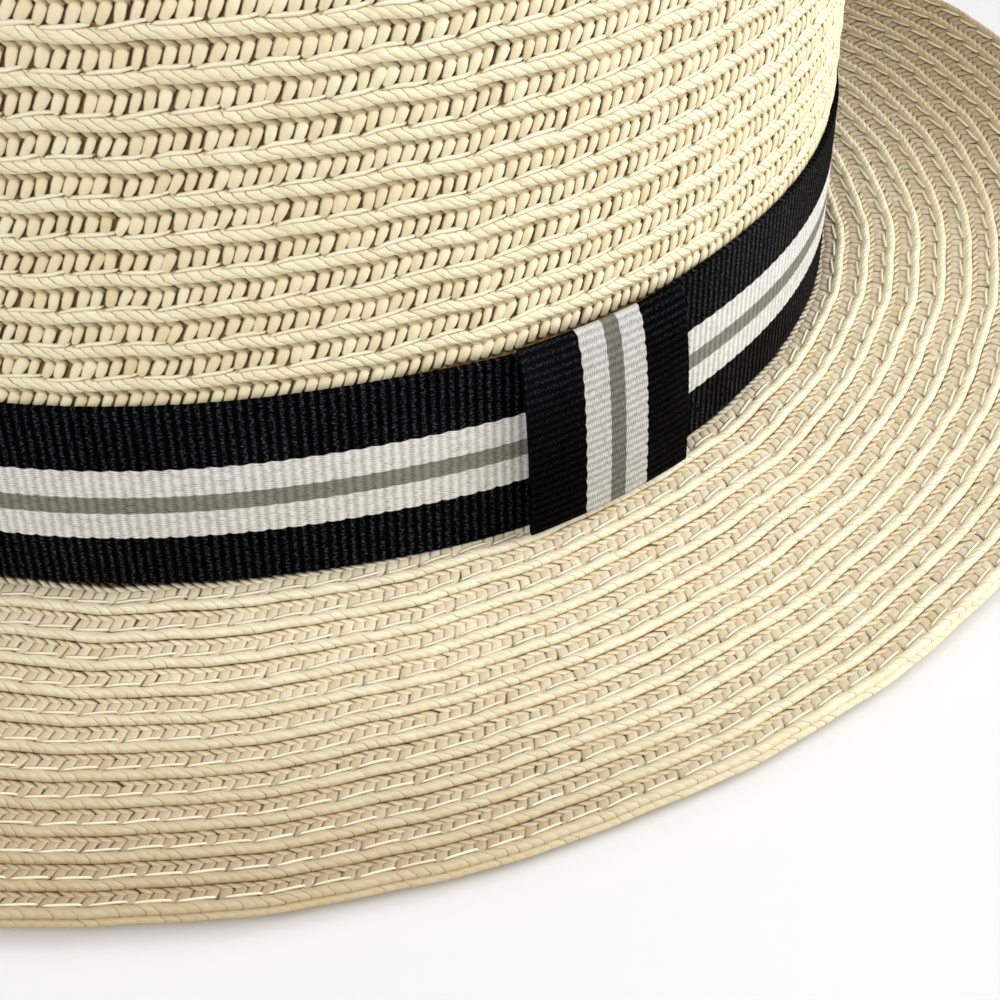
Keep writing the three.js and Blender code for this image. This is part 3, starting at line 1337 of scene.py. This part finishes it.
def finish_piece(piece: bpy.types.Object, node: Node, material: bpy.types.Material) -> None:
    """Dresses a piece and ties it to the part.

    Args:
        piece: The new object.
        node: The solid it stands for.
        material: Its finish.
    """
    piece.data.materials.clear()
    piece.data.materials.append(material)
    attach(piece, BODY)
    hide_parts(node.value)
    piece.data.calc_loop_triangles()
    LOG.info("%s: %d triangles", piece.name, len(piece.data.loop_triangles))


def piece_from_arrays(name: str, points: Array, faces: Array, smooth: Array) -> bpy.types.Object:
    """Makes an object from arrays.

    Args:
        name: The piece's name.
        points: Its vertices in millimetres.
        faces: Vertex numbers of its faces, a row for each.
        smooth: True for each face that is shaded smoothly.

    Returns:
        The new object, with no map yet.
    """
    mesh = bpy.data.meshes.new(name)
    mesh.vertices.add(len(points))
    mesh.vertices.foreach_set("co", (points * MM).astype(np.float32).ravel())
    mesh.loops.add(faces.size)
    mesh.loops.foreach_set("vertex_index", faces.astype(np.int32).ravel())
    mesh.polygons.add(len(faces))
    mesh.polygons.foreach_set("loop_start", np.arange(0, faces.size, faces.shape[1], dtype=np.int32))
    mesh.polygons.foreach_set("use_smooth", smooth)
    mesh.update(calc_edges=True)
    piece = bpy.data.objects.new(name, mesh)
    bpy.context.scene.collection.objects.link(piece)
    return piece


def mark_piece(piece: bpy.types.Object, attribute: str, domain: str, marks: Array, uv: Array) -> None:
    """Gives a piece the places that its finish reads, and its map.

    Args:
        piece: The piece.
        attribute: The name of the attribute that its finish reads.
        domain: Where the attribute is kept, at each point or corner.
        marks: The attribute's vectors.
        uv: The map's place of each corner.
    """
    layer = piece.data.attributes.new(attribute, "FLOAT_VECTOR", domain)
    layer.data.foreach_set("vector", marks.astype(np.float32).ravel())
    flat = piece.data.uv_layers.new(name=UV_MAP)
    flat.uv.foreach_set("vector", uv.astype(np.float32).ravel())


def strand_piece(name: str, shape: StrandShape, rows: Sequence[BraidRow]) -> bpy.types.Object:
    """Joins the strands of several rows into one mesh.

    Args:
        name: The piece's name.
        shape: The strand that is laid.
        rows: The rows that it is laid in.

    Returns:
        The new object.
    """
    batches = [row.weave(shape) for row in rows]
    points = np.concatenate([batch.points for batch in batches])
    tones = np.concatenate([batch.tones for batch in batches])
    count, corners, _ = points.shape
    triangles = (np.arange(count)[:, None, None] * corners + shape.triangles()).reshape(-1, 3)
    piece = piece_from_arrays(name, points.reshape(-1, 3), triangles, np.tile(shape.rounded(), count))

    shares = np.tile(shape.shares(), (count, 1, 1))
    seen = shares / (1.0, shape.cover)
    strand = np.concatenate((seen, np.repeat(tones, corners).reshape(count, corners, 1)), axis=2)
    columns = math.ceil(math.sqrt(count))
    cell = np.stack((np.arange(count) % columns, np.arange(count) // columns), axis=1)[:, None, :]
    inside = shares * MAP_CELL_SIZE + MAP_CELL_START
    corner_uv = ((cell + inside) / columns).reshape(-1, 2)[triangles.ravel()]
    mark_piece(piece, STRAND_ATTRIBUTE, "POINT", strand, corner_uv)
    return piece


class CordPoint(NamedTuple):
    """One point of a cord's section: its distance from the row's edge and its height over the row."""

    across: float
    height: float


@dataclass(frozen=True)
class CordShape:
    """A smooth cord, narrower where sewn: its section runs over the top to the edge and back under."""

    section: tuple[CordPoint, ...]
    around: int
    pitch: float = 1.7
    stitch_pitch: float = 5.7
    pinch: float = 0.0

    def narrowing(self, row: BraidRow, length: float) -> Array:
        """Gives the cord's share of its full width at each step round a row.

        Args:
            row: The row that it follows.
            length: The row's length round the hat.

        Returns:
            Shares of the full width, smallest at the ends of the stitches.
        """
        stitches = round(length / self.stitch_pitch)
        place = np.arange(self.around) / self.around * stitches - row.lead()
        return 1 - self.pinch * (0.5 + 0.5 * np.cos(2 * math.pi * place))


def cord_piece(name: str, shape: CordShape, rows: Sequence[BraidRow]) -> bpy.types.Object:
    """Joins one smooth closed cord for each of several rows into one mesh.

    Args:
        name: The piece's name.
        shape: The cord.
        rows: The rows that it follows.

    Returns:
        The new object, with each corner's place along, across and among the cords as an attribute.
    """
    across, height = np.array(shape.section).T
    around = shape.around
    corners = len(shape.section)
    step = np.repeat(np.arange(around), corners)
    corner = np.tile(np.arange(corners), around)
    steps = np.stack((step, step, step + 1, step + 1), axis=1)
    turns = np.stack((corner, corner + 1, corner + 1, corner), axis=1)
    body = (steps % around) * corners + turns % corners
    points, marks, maps = [], [], []
    for number, row in enumerate(rows):
        distances, angles = row.face.ring(row.edge)
        angle = np.interp(np.arange(around) / around * distances[-1], distances, angles)[:, None]
        narrow = shape.narrowing(row, distances[-1])[:, None]
        lengths = row.edge + row.way * across * narrow + row.wander(angle)
        offsets = height * (0.5 + 0.5 * narrow) - row.step * across / row.pitch
        ring = row.face.place(np.broadcast_to(angle, lengths.shape), lengths, offsets)
        ring[..., 2] = np.maximum(ring[..., 2], row.floor)
        points.append(ring.reshape(-1, 3))
        strands = round(distances[-1] / shape.pitch)
        row_number = np.full(steps.shape, float(number))
        marks.append(np.stack((steps / around * strands, across[turns % corners], row_number), axis=2))
        maps.append(np.stack((steps / around, (number + turns / corners) / len(rows)), axis=2))
    faces = np.concatenate([body + number * around * corners for number in range(len(rows))])
    piece = piece_from_arrays(name, np.concatenate(points), faces, np.ones(len(faces), dtype=bool))
    mark_piece(piece, CORD_ATTRIBUTE, "CORNER", np.concatenate(marks), np.concatenate(maps))
    return piece


def wrapped_sheet(name: str, columns: int, rows: int,
                  place: Callable[[Array, Array], Array]) -> bpy.types.Object:
    """Lays a flat grid on a form.

    Args:
        name: The piece's name.
        columns: Faces round the form.
        rows: Faces along it.
        place: Turns shares round and along into points in millimetres.

    Returns:
        The sheet, with no thickness yet.
    """
    bpy.ops.object.select_all(action="DESELECT")
    bpy.ops.mesh.primitive_grid_add(x_subdivisions=columns, y_subdivisions=rows, size=1.0)
    piece = bpy.context.active_object
    piece.name = name
    mesh = piece.data
    mesh.name = name
    mesh.uv_layers[0].name = UV_MAP
    flat = np.empty(len(mesh.vertices) * 3, dtype=np.float32)
    mesh.vertices.foreach_get("co", flat)
    shares = flat.reshape(-1, 3).astype(float) + 0.5
    placed = place(shares[:, 0], shares[:, 1]) * MM
    mesh.vertices.foreach_set("co", placed.astype(np.float32).ravel())
    mesh.update()
    return piece


def close_seams(piece: bpy.types.Object) -> None:
    """Joins the meeting edges of a sheet.

    Args:
        piece: The sheet.
    """
    bpy.context.view_layer.objects.active = piece
    bpy.ops.object.mode_set(mode="EDIT")
    bpy.ops.mesh.select_all(action="SELECT")
    bpy.ops.mesh.remove_doubles(threshold=SEAM_REACH)
    bpy.ops.object.mode_set(mode="OBJECT")


def thicken(piece: bpy.types.Object, thickness: float) -> None:
    """Gives a sheet its thickness, under its outer face.

    Args:
        piece: The sheet.
        thickness: Its thickness in millimetres.
    """
    wall = piece.modifiers.new("thickness", "SOLIDIFY")
    wall.thickness = thickness * MM
    wall.offset = -1.0
    bpy.ops.object.modifier_apply(modifier=wall.name)
    bpy.ops.object.shade_smooth_by_angle(angle=math.radians(SMOOTH_ANGLE))


def part_inside(piece: bpy.types.Object, outer_faces: int) -> None:
    """Gives the outer and the inner faces of a thickened sheet separate halves of its map.

    Args:
        piece: The thickened sheet.
        outer_faces: How many of its first faces lie outside.
    """
    mesh = piece.data
    uv = np.empty(len(mesh.loops) * 2, dtype=np.float32)
    mesh.uv_layers[UV_MAP].uv.foreach_get("vector", uv)
    uv = uv.reshape(-1, 2)
    starts = np.empty(len(mesh.polygons), dtype=np.int32)
    mesh.polygons.foreach_get("loop_start", starts)
    first_inner = starts[outer_faces]
    uv[:, 0] *= 0.5
    uv[first_inner:, 0] += 0.5
    mesh.uv_layers[UV_MAP].uv.foreach_set("vector", uv.ravel())


class ShellRing(NamedTuple):
    """One ring of a backing: its length along the straw, its height over the face and its row, if any."""

    length: float
    offset: float
    row: BraidRow | None = None


def stepped_shell(name: str, face: StrawFace, around: int, rings: Sequence[ShellRing],
                  thickness: float) -> bpy.types.Object:
    """Makes a thin closed shell whose rings follow the edges of the braid rows.

    Args:
        name: The piece's name.
        face: The face it lies on.
        around: Faces round the hat.
        rings: The shell's rings, in order.
        thickness: The shell's thickness in millimetres.

    Returns:
        The shell, with the outer faces in the left half of its map.
    """
    last = len(rings) - 1
    steps = np.linspace(0, 2 * math.pi, around + 1)
    still = np.zeros_like(steps)
    wander = np.array([still if ring.row is None else ring.row.wander(steps) for ring in rings])
    lengths = np.array([ring.length for ring in rings])
    offsets = np.array([ring.offset for ring in rings])

    def place(round_share: Array, long_share: Array) -> Array:
        """Places the grid's points on their rings.

        Args:
            round_share: Shares round the hat.
            long_share: Shares from the first ring to the last.

        Returns:
            Points in millimetres.
        """
        ring = np.rint(long_share * last).astype(int)
        step = np.rint(round_share * around).astype(int)
        points = face.place(steps[step], lengths[ring] + wander[ring, step], offsets[ring])
        points[:, 0] *= np.where(lengths[ring] >= face.last_length, 0, 1)
        return points

    shell = wrapped_sheet(name, around, last, place)
    close_seams(shell)
    outer_faces = len(shell.data.polygons)
    thicken(shell, thickness)
    part_inside(shell, outer_faces)
    return shell


# Sub-assemblies


@dataclass(frozen=True, kw_only=True)
class SewnBraid:
    """Rows of braid that are sewn to a thin backing, as the crown and the brim are.

    The way is 1 where a row's width runs away from the head line, and -1 where it runs towards it.
    """

    node: Node
    face: StrawFace
    way: float
    pitch: float
    first: float
    step: float
    wobble: float
    backing_depth: float
    backing_thickness: float
    around: int
    seed: int
    edge_gap: float = 0.05
    tuck: float = 0.3
    floor: float = -math.inf

    def row_count(self) -> int:
        """Counts the rows."""
        raise NotImplementedError

    def rows(self) -> list[BraidRow]:
        """Lays out the rows.

        Returns:
            All rows, from the head line on.
        """
        return [
            BraidRow(
                face=self.face,
                edge=self.first + index * self.pitch,
                way=self.way,
                pitch=self.pitch,
                step=self.step,
                wobble=self.wobble,
                seed=self.seed,
                index=index,
                floor=self.floor,
            )
            for index in range(self.row_count())
        ]

    def stepped_rings(self, rows: Sequence[BraidRow], last_length: float) -> list[ShellRing]:
        """Steps the backing down from the edge of each row to that of the next.

        Args:
            rows: The rows, in the order in which the backing is laid.
            last_length: Where the last row's width ends.

        Returns:
            Two rings for each row.
        """
        high = -self.backing_depth
        low = high - self.step
        rings = []
        for row, after in zip(rows[:-1], rows[1:]):
            rings.append(ShellRing(row.edge + self.way * self.tuck, high, row))
            rings.append(ShellRing(after.edge + self.way * (self.tuck - self.edge_gap), low, after))
        rings.append(ShellRing(rows[-1].edge + self.way * self.tuck, high, rows[-1]))
        rings.append(ShellRing(last_length - self.way * self.edge_gap, low))
        return rings

    def dress(self, piece: bpy.types.Object, material: bpy.types.Material) -> None:
        """Dresses one straw piece."""
        finish_piece(piece, self.node, material)


@dataclass(frozen=True, kw_only=True)
class Crown(SewnBraid):
    """The sewn braid crown: a thin backing, with a cord, teeth, under-strands and stitches in each row."""

    node: Node = Node.CROWN
    face: CrownFace = CrownFace()
    way: float = 1.0
    pitch: float = 5.43
    first: float = 1.72
    step: float = 0.9
    wobble: float = 0.11
    ribbon_top: float = 32.0
    ribbon_overlap: float = 1.0
    tip_depth: float = 1.0
    backing_depth: float = 0.1
    backing_thickness: float = 0.9
    around: int = 240
    seed: int = 100

    cord = CordShape((
        CordPoint(2.05, -0.25),
        CordPoint(2.04, 0.18),
        CordPoint(1.70, 0.54),
        CordPoint(1.20, 0.70),
        CordPoint(0.68, 0.64),
        CordPoint(0.24, 0.40),
        CordPoint(0.00, 0.02),
        CordPoint(0.10, -0.45),
        CordPoint(1.20, -0.60),
    ), around=320, stitch_pitch=6.4, pinch=0.12)
    tip_cord = CordShape((
        CordPoint(2.62, -0.25),
        CordPoint(2.60, 0.34),
        CordPoint(2.20, 0.60),
        CordPoint(1.50, 0.70),
        CordPoint(0.80, 0.62),
        CordPoint(0.28, 0.40),
        CordPoint(0.00, 0.02),
        CordPoint(0.10, -0.45),
        CordPoint(1.50, -0.60),
    ), around=160)
    tooth = StrandShape((
        Station(-0.84, 1.65, 0.00),
        Station(-0.56, 2.30, 0.20, 0.70, 0.26),
        Station(-0.05, 3.40, 0.30, 0.88, 0.46),
        Station(0.38, 4.30, 0.28, 0.86, 0.44),
        Station(0.66, 4.95, 0.12),
    ), pitch=1.82, cover=0.88, section=Section.PLUMP, shift=0.08, spread=0.07)
    under = StrandShape((
        Station(-1.50, 6.40, 0.40),
        Station(-0.72, 5.60, 0.38, 1.00, 0.08),
        Station(0.28, 4.60, 0.34, 1.00, 0.08),
        Station(0.95, 3.90, 0.20),
    ), pitch=1.82, cover=0.91, section=Section.LAPPED, cut_along=True, spread=0.05, tone_middle=0.5)
    stitch = StrandShape((
        Station(-0.30, 1.60, 0.20),
        Station(0.60, 1.92, 0.42, 0.26, 0.18),
        Station(2.20, 2.12, 0.44, 0.34, 0.24),
        Station(4.20, 2.20, 0.42, 0.34, 0.24),
        Station(5.80, 2.30, 0.30, 0.26, 0.18),
        Station(6.70, 2.50, -0.10),
    ), pitch=6.4, cover=1.0, follows=False, shift=0.12, sway=0.05, spread=0.06, tone_middle=0.7)

    def row_count(self) -> int:
        """Counts the rows, up to the narrow one that closes the tip."""
        return math.floor((self.face.whole_length - self.first) / self.pitch) + 1

    def seen_rows(self) -> tuple[list[BraidRow], list[BraidRow]]:
        """Picks the rows that show over the ribbon.

        Returns:
            The rows whose lower edge shows, and those of which any part shows but for the tip's.
        """
        rows = self.rows()
        edges = [row for row in rows if row.edge > self.ribbon_top - self.ribbon_overlap]
        parts = [row for row in rows[:-1] if row.edge + self.pitch > self.ribbon_top]
        return edges, parts

    def backing(self) -> bpy.types.Object:
        """Makes the thin stepped shell that carries the strands.

        Returns:
            The shell, closed at the tip.
        """
        rings = self.stepped_rings(self.rows(), self.face.whole_length)
        rings.append(ShellRing(self.face.last_length, -self.tip_depth))
        return stepped_shell("crown_backing", self.face, self.around, rings, self.backing_thickness)

    def build(self) -> None:
        """Makes and dresses all pieces of the crown."""
        edges, parts = self.seen_rows()
        cord = CROWN_CORD.material()
        straw = CROWN_STRAW.material()
        thread = THREAD.material()
        under = UNDER_STRAW.material()
        backing = BackingFinish(
            name="crown_back",
            # The painted shade that shows in the gaps between strands.
            gap=paint(150, 117, 70),
            pale=paint(236, 220, 178),
            deep=paint(208, 182, 132),
            round_length=590.0,
            rings=2 * self.row_count(),
            pitch=self.pitch,
        )
        self.dress(self.backing(), backing.material())
        tip = [replace(edges.pop(), wobble=0.0)]
        self.dress(cord_piece("crown_cords", self.cord, edges), cord)
        self.dress(cord_piece("crown_tip_cord", self.tip_cord, tip), cord)
        self.dress(strand_piece("crown_teeth", self.tooth, parts), straw)
        self.dress(strand_piece("crown_under_strands", self.under, parts), under)
        self.dress(strand_piece("crown_stitches", self.stitch, edges), thread)


@dataclass(frozen=True, kw_only=True)
class Brim(SewnBraid):
    """The sewn braid brim: a thin backing, with a cord, tiles, back strands and stitches in each row."""

    node: Node = Node.BRIM
    face: BrimFace = BrimFace()
    way: float = -1.0
    pitch: float = 4.55
    first: float = 5.35
    count: int = 12
    step: float = 0.55
    wobble: float = 0.13
    collar: float = 1.7
    floor: float = 0.02
    backing_depth: float = 0.08
    backing_thickness: float = 1.4
    around: int = 300
    seed: int = 300

    cord = CordShape((
        CordPoint(1.80, -0.35),
        CordPoint(1.82, 0.20),
        CordPoint(1.62, 0.54),
        CordPoint(1.28, 0.76),
        CordPoint(0.90, 0.82),
        CordPoint(0.52, 0.75),
        CordPoint(0.20, 0.52),
        CordPoint(0.00, 0.14),
        CordPoint(0.06, -0.30),
        CordPoint(0.40, -0.60),
        CordPoint(1.10, -0.60),
    ), around=520, pinch=0.15)
    rim_cord = CordShape((
        CordPoint(0.60, -0.35),
        CordPoint(0.10, -0.40),
        CordPoint(-0.28, -0.52),
        CordPoint(-0.55, -0.80),
        CordPoint(-0.52, -1.15),
        CordPoint(-0.20, -1.40),
        CordPoint(0.30, -1.40),
    ), around=480)
    tile = StrandShape((
        Station(-0.45, 1.45, 0.00),
        Station(-0.36, 1.75, 0.12, 0.93, 0.14),
        Station(0.00, 2.75, 0.20, 0.95, 0.20),
        Station(0.24, 3.55, 0.18, 0.95, 0.18),
        Station(0.36, 4.10, 0.10),
    ), pitch=1.75, cover=0.95, section=Section.PLUMP, cut_along=True, shift=0.05, sway=0.08, spread=0.05,
        tone_middle=0.55)
    back = StrandShape((
        Station(-2.00, 5.75, 0.18),
        Station(-0.62, 4.55, 0.28, 0.94, 0.06),
        Station(0.30, 3.75, 0.26, 0.94, 0.06),
        Station(0.85, 3.25, 0.14),
    ), pitch=1.7, cover=0.91, section=Section.LAPPED, cut_along=True, spread=0.05, tone_middle=0.6)
    stitch = StrandShape((
        Station(-0.10, 1.40, 0.56),
        Station(0.70, 1.72, 0.54, 0.26, 0.20),
        Station(2.30, 1.94, 0.46, 0.32, 0.25),
        Station(4.00, 2.06, 0.42, 0.32, 0.25),
        Station(5.00, 2.10, 0.36, 0.26, 0.20),
        Station(5.50, 2.12, 0.05),
    ), pitch=5.7, cover=1.0, follows=False, shift=0.12, sway=0.06, spread=0.06, tone_middle=0.75)

    def row_count(self) -> int:
        """Counts the rows."""
        return self.count

    def backing(self) -> bpy.types.Object:
        """Makes the thin stepped shell that carries the strands, from the rim inwards.

        Returns:
            The shell, with nothing under the surface that the hat rests on.
        """
        rings = self.stepped_rings(self.rows()[::-1], 0.0)
        rings.append(ShellRing(-self.collar, 0.0))
        shell = stepped_shell("brim_backing", self.face, self.around, rings, self.backing_thickness)
        for vertex in shell.data.vertices:
            vertex.co.z = max(vertex.co.z, 0.0)
        return shell

    def build(self) -> None:
        """Makes and dresses all pieces of the brim."""
        rows = self.rows()
        straw = BRIM_CORD.material()
        tile = TILE_STRAW.material()
        back = BACK_STRAW.material()
        thread = THREAD.material()
        backing = BackingFinish(
            name="brim_back",
            # The painted shade that shows in the gaps between strands.
            gap=paint(150, 118, 72),
            pale=paint(230, 212, 168),
            deep=paint(200, 172, 122),
            round_length=780.0,
            rings=2 * self.row_count(),
            pitch=self.pitch,
        )
        self.dress(self.backing(), backing.material())
        self.dress(cord_piece("brim_cords", self.cord, rows), straw)
        self.dress(cord_piece("brim_rim_cord", self.rim_cord, rows[-1:]), straw)
        self.dress(strand_piece("brim_tiles", self.tile, rows), tile)
        self.dress(strand_piece("brim_back_strands", self.back, rows), back)
        self.dress(strand_piece("brim_stitches", self.stitch, rows), thread)


@dataclass(frozen=True)
class RibbonBand:
    """The striped ribbon round the foot of the crown."""

    taper: float = 0.03
    foot: float = 0.5
    top: float = 32.0
    off: float = 1.2
    thickness: float = 0.8
    cord: float = 1.3
    cord_relief: float = 0.1
    swell: float = 1.5
    swell_angle: float = 9.0
    swell_spread: float = 13.0
    swell_fade: float = 0.6
    dip: float = 1.4
    dip_angle: float = 11.0
    dip_spread: float = 11.0
    sag: float = 0.95
    sag_angle: float = 7.0
    sag_spread: float = 19.0
    sag_power: float = 5.0
    seam_angle: float = 14.6
    points_per_cord: int = 4
    rises: int = 4

    def girth(self) -> float:
        """Measures the ribbon at half its height.

        Returns:
            Its length round the crown in millimetres.
        """
        angles = np.linspace(0, 2 * math.pi, StrawFace.ring_steps + 1)
        points = HEAD.beside(angles, self.off - self.taper * self.top / 2, np.zeros_like(angles))
        return float(np.linalg.norm(np.diff(points, axis=0), axis=1).sum())

    def cords(self) -> int:
        """Counts the ribbon's cords round the crown, in pairs."""
        return 2 * round(self.girth() / self.cord / 2)

    def place(self, round_share: Array, up_share: Array) -> Array:
        """Lays the ribbon beside the crown's wall.

        Args:
            round_share: Shares round the crown.
            up_share: Shares from the ribbon's foot to its top.

        Returns:
            Points in millimetres.
        """
        angle = round_share * 2 * math.pi + math.radians(self.seam_angle)
        crest = np.abs(np.sin(math.pi * round_share * self.cords()))
        dip = self.dip * self.nearness(angle, self.dip_angle, self.dip_spread)
        sag = self.sag * self.nearness(angle, self.sag_angle, self.sag_spread)
        swell = self.swell * self.nearness(angle, self.swell_angle, self.swell_spread)
        height = self.foot + (self.top - self.foot - dip) * up_share
        height = height - sag * (1 - up_share) ** self.sag_power
        out = self.off - self.taper * height + self.cord_relief * (crest - 1)
        out = out + swell * (1 - self.swell_fade * up_share)
        return HEAD.seat(HEAD.beside(angle, out, height))

    def nearness(self, angle: Array, middle: float, spread: float) -> Array:
        """Tells how near places are to a middle.

        Args:
            angle: Ellipse parameters.
            middle: The middle in degrees.
            spread: How far the nearness reaches, in degrees.

        Returns:
            1 at the middle, falling to 0.
        """
        turned = np.mod(np.degrees(angle) - middle + 180, 360) - 180
        return np.exp(-((turned / spread) ** 2))

    def build(self) -> None:
        """Makes and dresses the ribbon band."""
        length = self.girth()
        columns = self.cords() * self.points_per_cord
        band = wrapped_sheet("ribbon_band_cloth", columns, self.rises, self.place)
        close_seams(band)
        thicken(band, self.thickness)
        finish = RibbonFinish(name="striped_ribbon", length=self.cords() * self.cord)
        finish_piece(band, Node.BAND, finish.material())


@dataclass(frozen=True)
class RibbonLoop:
    """The upright ribbon loop that hides the band's joint."""

    taper: float = 0.03
    start_angle: float = 5.6
    end_angle: float = 22.0
    foot: float = 0.9
    top: float = 31.9
    face_off: float = 6.3
    near_off: float = 1.7
    tilt: float = 0.14
    width_place: float = 0.3
    thickness: float = 0.7
    cord: float = 1.3
    cord_relief: float = 0.1
    columns: int = 48
    points_per_cord: int = 4
    path_steps: int = 400

    def path(self, share: Array) -> tuple[Array, Array, float]:
        """Follows the ribbon up the front and in a wide fold over the band's top edge.

        Args:
            share: Shares along the ribbon.

        Returns:
            Distances off the crown's wall, heights, and the ribbon's length.
        """
        turn = np.linspace(0, math.pi / 2, self.path_steps)
        off = self.near_off + (self.face_off - self.near_off) * np.cos(turn)
        height = self.foot + (self.top - self.foot) * np.sin(turn)
        steps = np.hypot(np.diff(off), np.diff(height))
        distance = np.concatenate(([0.0], np.cumsum(steps)))
        length = float(distance[-1])
        place = share * length
        return np.interp(place, distance, off), np.interp(place, distance, height), length

    def place(self, round_share: Array, up_share: Array) -> Array:
        """Lays the loop over the band.

        Args:
            round_share: Shares across the loop, from its front edge.
            up_share: Shares along its ribbon, from its foot.

        Returns:
            Points in millimetres.
        """
        off, height, length = self.path(up_share)
        cords = round(length / self.cord)
        crest = np.abs(np.sin(math.pi * up_share * cords))
        off = self.near_off + (off - self.near_off) * (1 - self.tilt * round_share)
        spread = self.start_angle + (self.end_angle - self.start_angle) * round_share
        out = off - self.taper * height + self.cord_relief * (crest - 1)
        return HEAD.seat(HEAD.beside(np.radians(spread), out, height))

    def build(self) -> None:
        """Makes and dresses the ribbon loop."""
        _, _, length = self.path(np.zeros(1))
        cords = round(length / self.cord)
        loop = wrapped_sheet("ribbon_loop_cloth", self.columns, cords * self.points_per_cord, self.place)
        self.turn_map(loop)
        thicken(loop, self.thickness)
        finish = RibbonFinish(
            name="striped_loop_ribbon",
            length=cords * self.cord,
            lower_white=9.5,
            lower_grey=13.9,
            upper_grey=16.9,
            upper_white=21.6,
            # Less painted sheen, and white and grey darker than the band's: painted shade on the same
            # ribbon.
            sheen_fleck_share=0.1,
            fold_from=0.6,
            white=paint(216, 215, 212),
            white_shade=paint(128, 126, 122),
            grey=paint(130, 130, 121),
            grey_shade=paint(62, 63, 56),
        )
        finish_piece(loop, Node.LOOP, finish.material())
        corners = self.place(np.array([0.0, 1.0]), np.full(2, self.width_place))
        width = float(np.linalg.norm(corners[1] - corners[0]))

    def turn_map(self, loop: bpy.types.Object) -> None:
        """Turns the loop's map so that the ribbon's length runs up, with its wide dark edge in front.

        Args:
            loop: The loop as a flat sheet.
        """
        layer = loop.data.uv_layers[UV_MAP].uv
        uv = np.empty(len(layer) * 2, dtype=np.float32)
        layer.foreach_get("vector", uv)
        across, along = uv.reshape(-1, 2).T
        layer.foreach_set("vector", np.stack((along, 1 - across), axis=1).ravel())


# Studio


class Panel(NamedTuple):
    """A soft light that faces the hat: its place and its side in metres, and its power in watts."""

    name: str
    place: tuple[float, float, float]
    size: float
    power: float


PANELS = (
    Panel("right", (0.3, 0.9, 0.5), 0.6, 9.3),
    Panel("front", (0.5, -0.5, 0.8), 0.6, 4.7),
)


@dataclass(frozen=True)
class Studio:
    """Pale floor, soft light and the camera. Camera places are in millimetres in the head line's frame."""

    camera_place: tuple[float, float, float] = (262.627, -70.371, 178.675)
    look_azimuth: float = 66.263
    look_down: float = 41.945
    roll: float = 0.41
    focal_share: float = 1.7414
    sensor: float = 36.0
    nearest: float = 0.01
    floor_size: float = 8.0
    sky: float = 0.4

    def camera(self) -> None:
        """Sets the camera at the photograph's place over the hat."""
        lens = bpy.data.cameras.new("camera")
        lens.sensor_width = self.sensor
        lens.lens = self.focal_share * self.sensor
        lens.clip_start = self.nearest
        azimuth = math.radians(self.look_azimuth)
        down = math.radians(self.look_down)
        level = math.cos(down)
        back = Vector((math.sin(azimuth) * level, -math.cos(azimuth) * level, math.sin(down)))
        right = Vector((0, 0, 1)).cross(back).normalized()
        up = back.cross(right)
        roll = Matrix.Rotation(math.radians(self.roll), 4, "Z")
        turn = Matrix((right, up, back)).transposed().to_4x4() @ roll
        camera = bpy.data.objects.new("camera", lens)
        place = Matrix.Translation(Vector(self.camera_place) * MM)
        camera.matrix_world = HEAD.seating() @ place @ turn
        bpy.context.scene.collection.objects.link(camera)
        bpy.context.scene.camera = camera

    def floor(self) -> None:
        """Lays the floor that the hat rests on."""
        bpy.ops.object.select_all(action="DESELECT")
        bpy.ops.mesh.primitive_plane_add(size=self.floor_size)
        floor = bpy.context.active_object
        floor.name = "floor"
        floor.data.materials.append(FloorFinish().material())

    def light(self) -> None:
        """Hangs the soft lights."""
        world = bpy.data.worlds.new("soft_sky")
        bpy.context.scene.world = world
        world.use_nodes = True
        background = world.node_tree.nodes["Background"].inputs
        background["Color"].default_value = (1.0, 1.0, 1.0, 1.0)
        background["Strength"].default_value = self.sky
        for panel in PANELS:
            self.hang(panel)

    def hang(self, panel: Panel) -> None:
        """Hangs one panel.

        Args:
            panel: The light.
        """
        lamp = bpy.data.lights.new(panel.name, "AREA")
        lamp.size = panel.size
        lamp.energy = panel.power
        light = bpy.data.objects.new(panel.name, lamp)
        light.location = panel.place
        light.rotation_euler = (-Vector(panel.place)).to_track_quat("-Z", "Y").to_euler()
        bpy.context.scene.collection.objects.link(light)


def main() -> None:
    """Builds the hat and its studio."""
    logging.basicConfig(level=logging.INFO, format="%(name)s: %(message)s")
    studio = Studio()
    studio.camera()
    studio.floor()
    studio.light()
    Crown().build()
    Brim().build()
    RibbonBand().build()
    RibbonLoop().build()
    bpy.context.scene.view_settings.view_transform = "Standard"


if __name__ == "__main__":
    main()
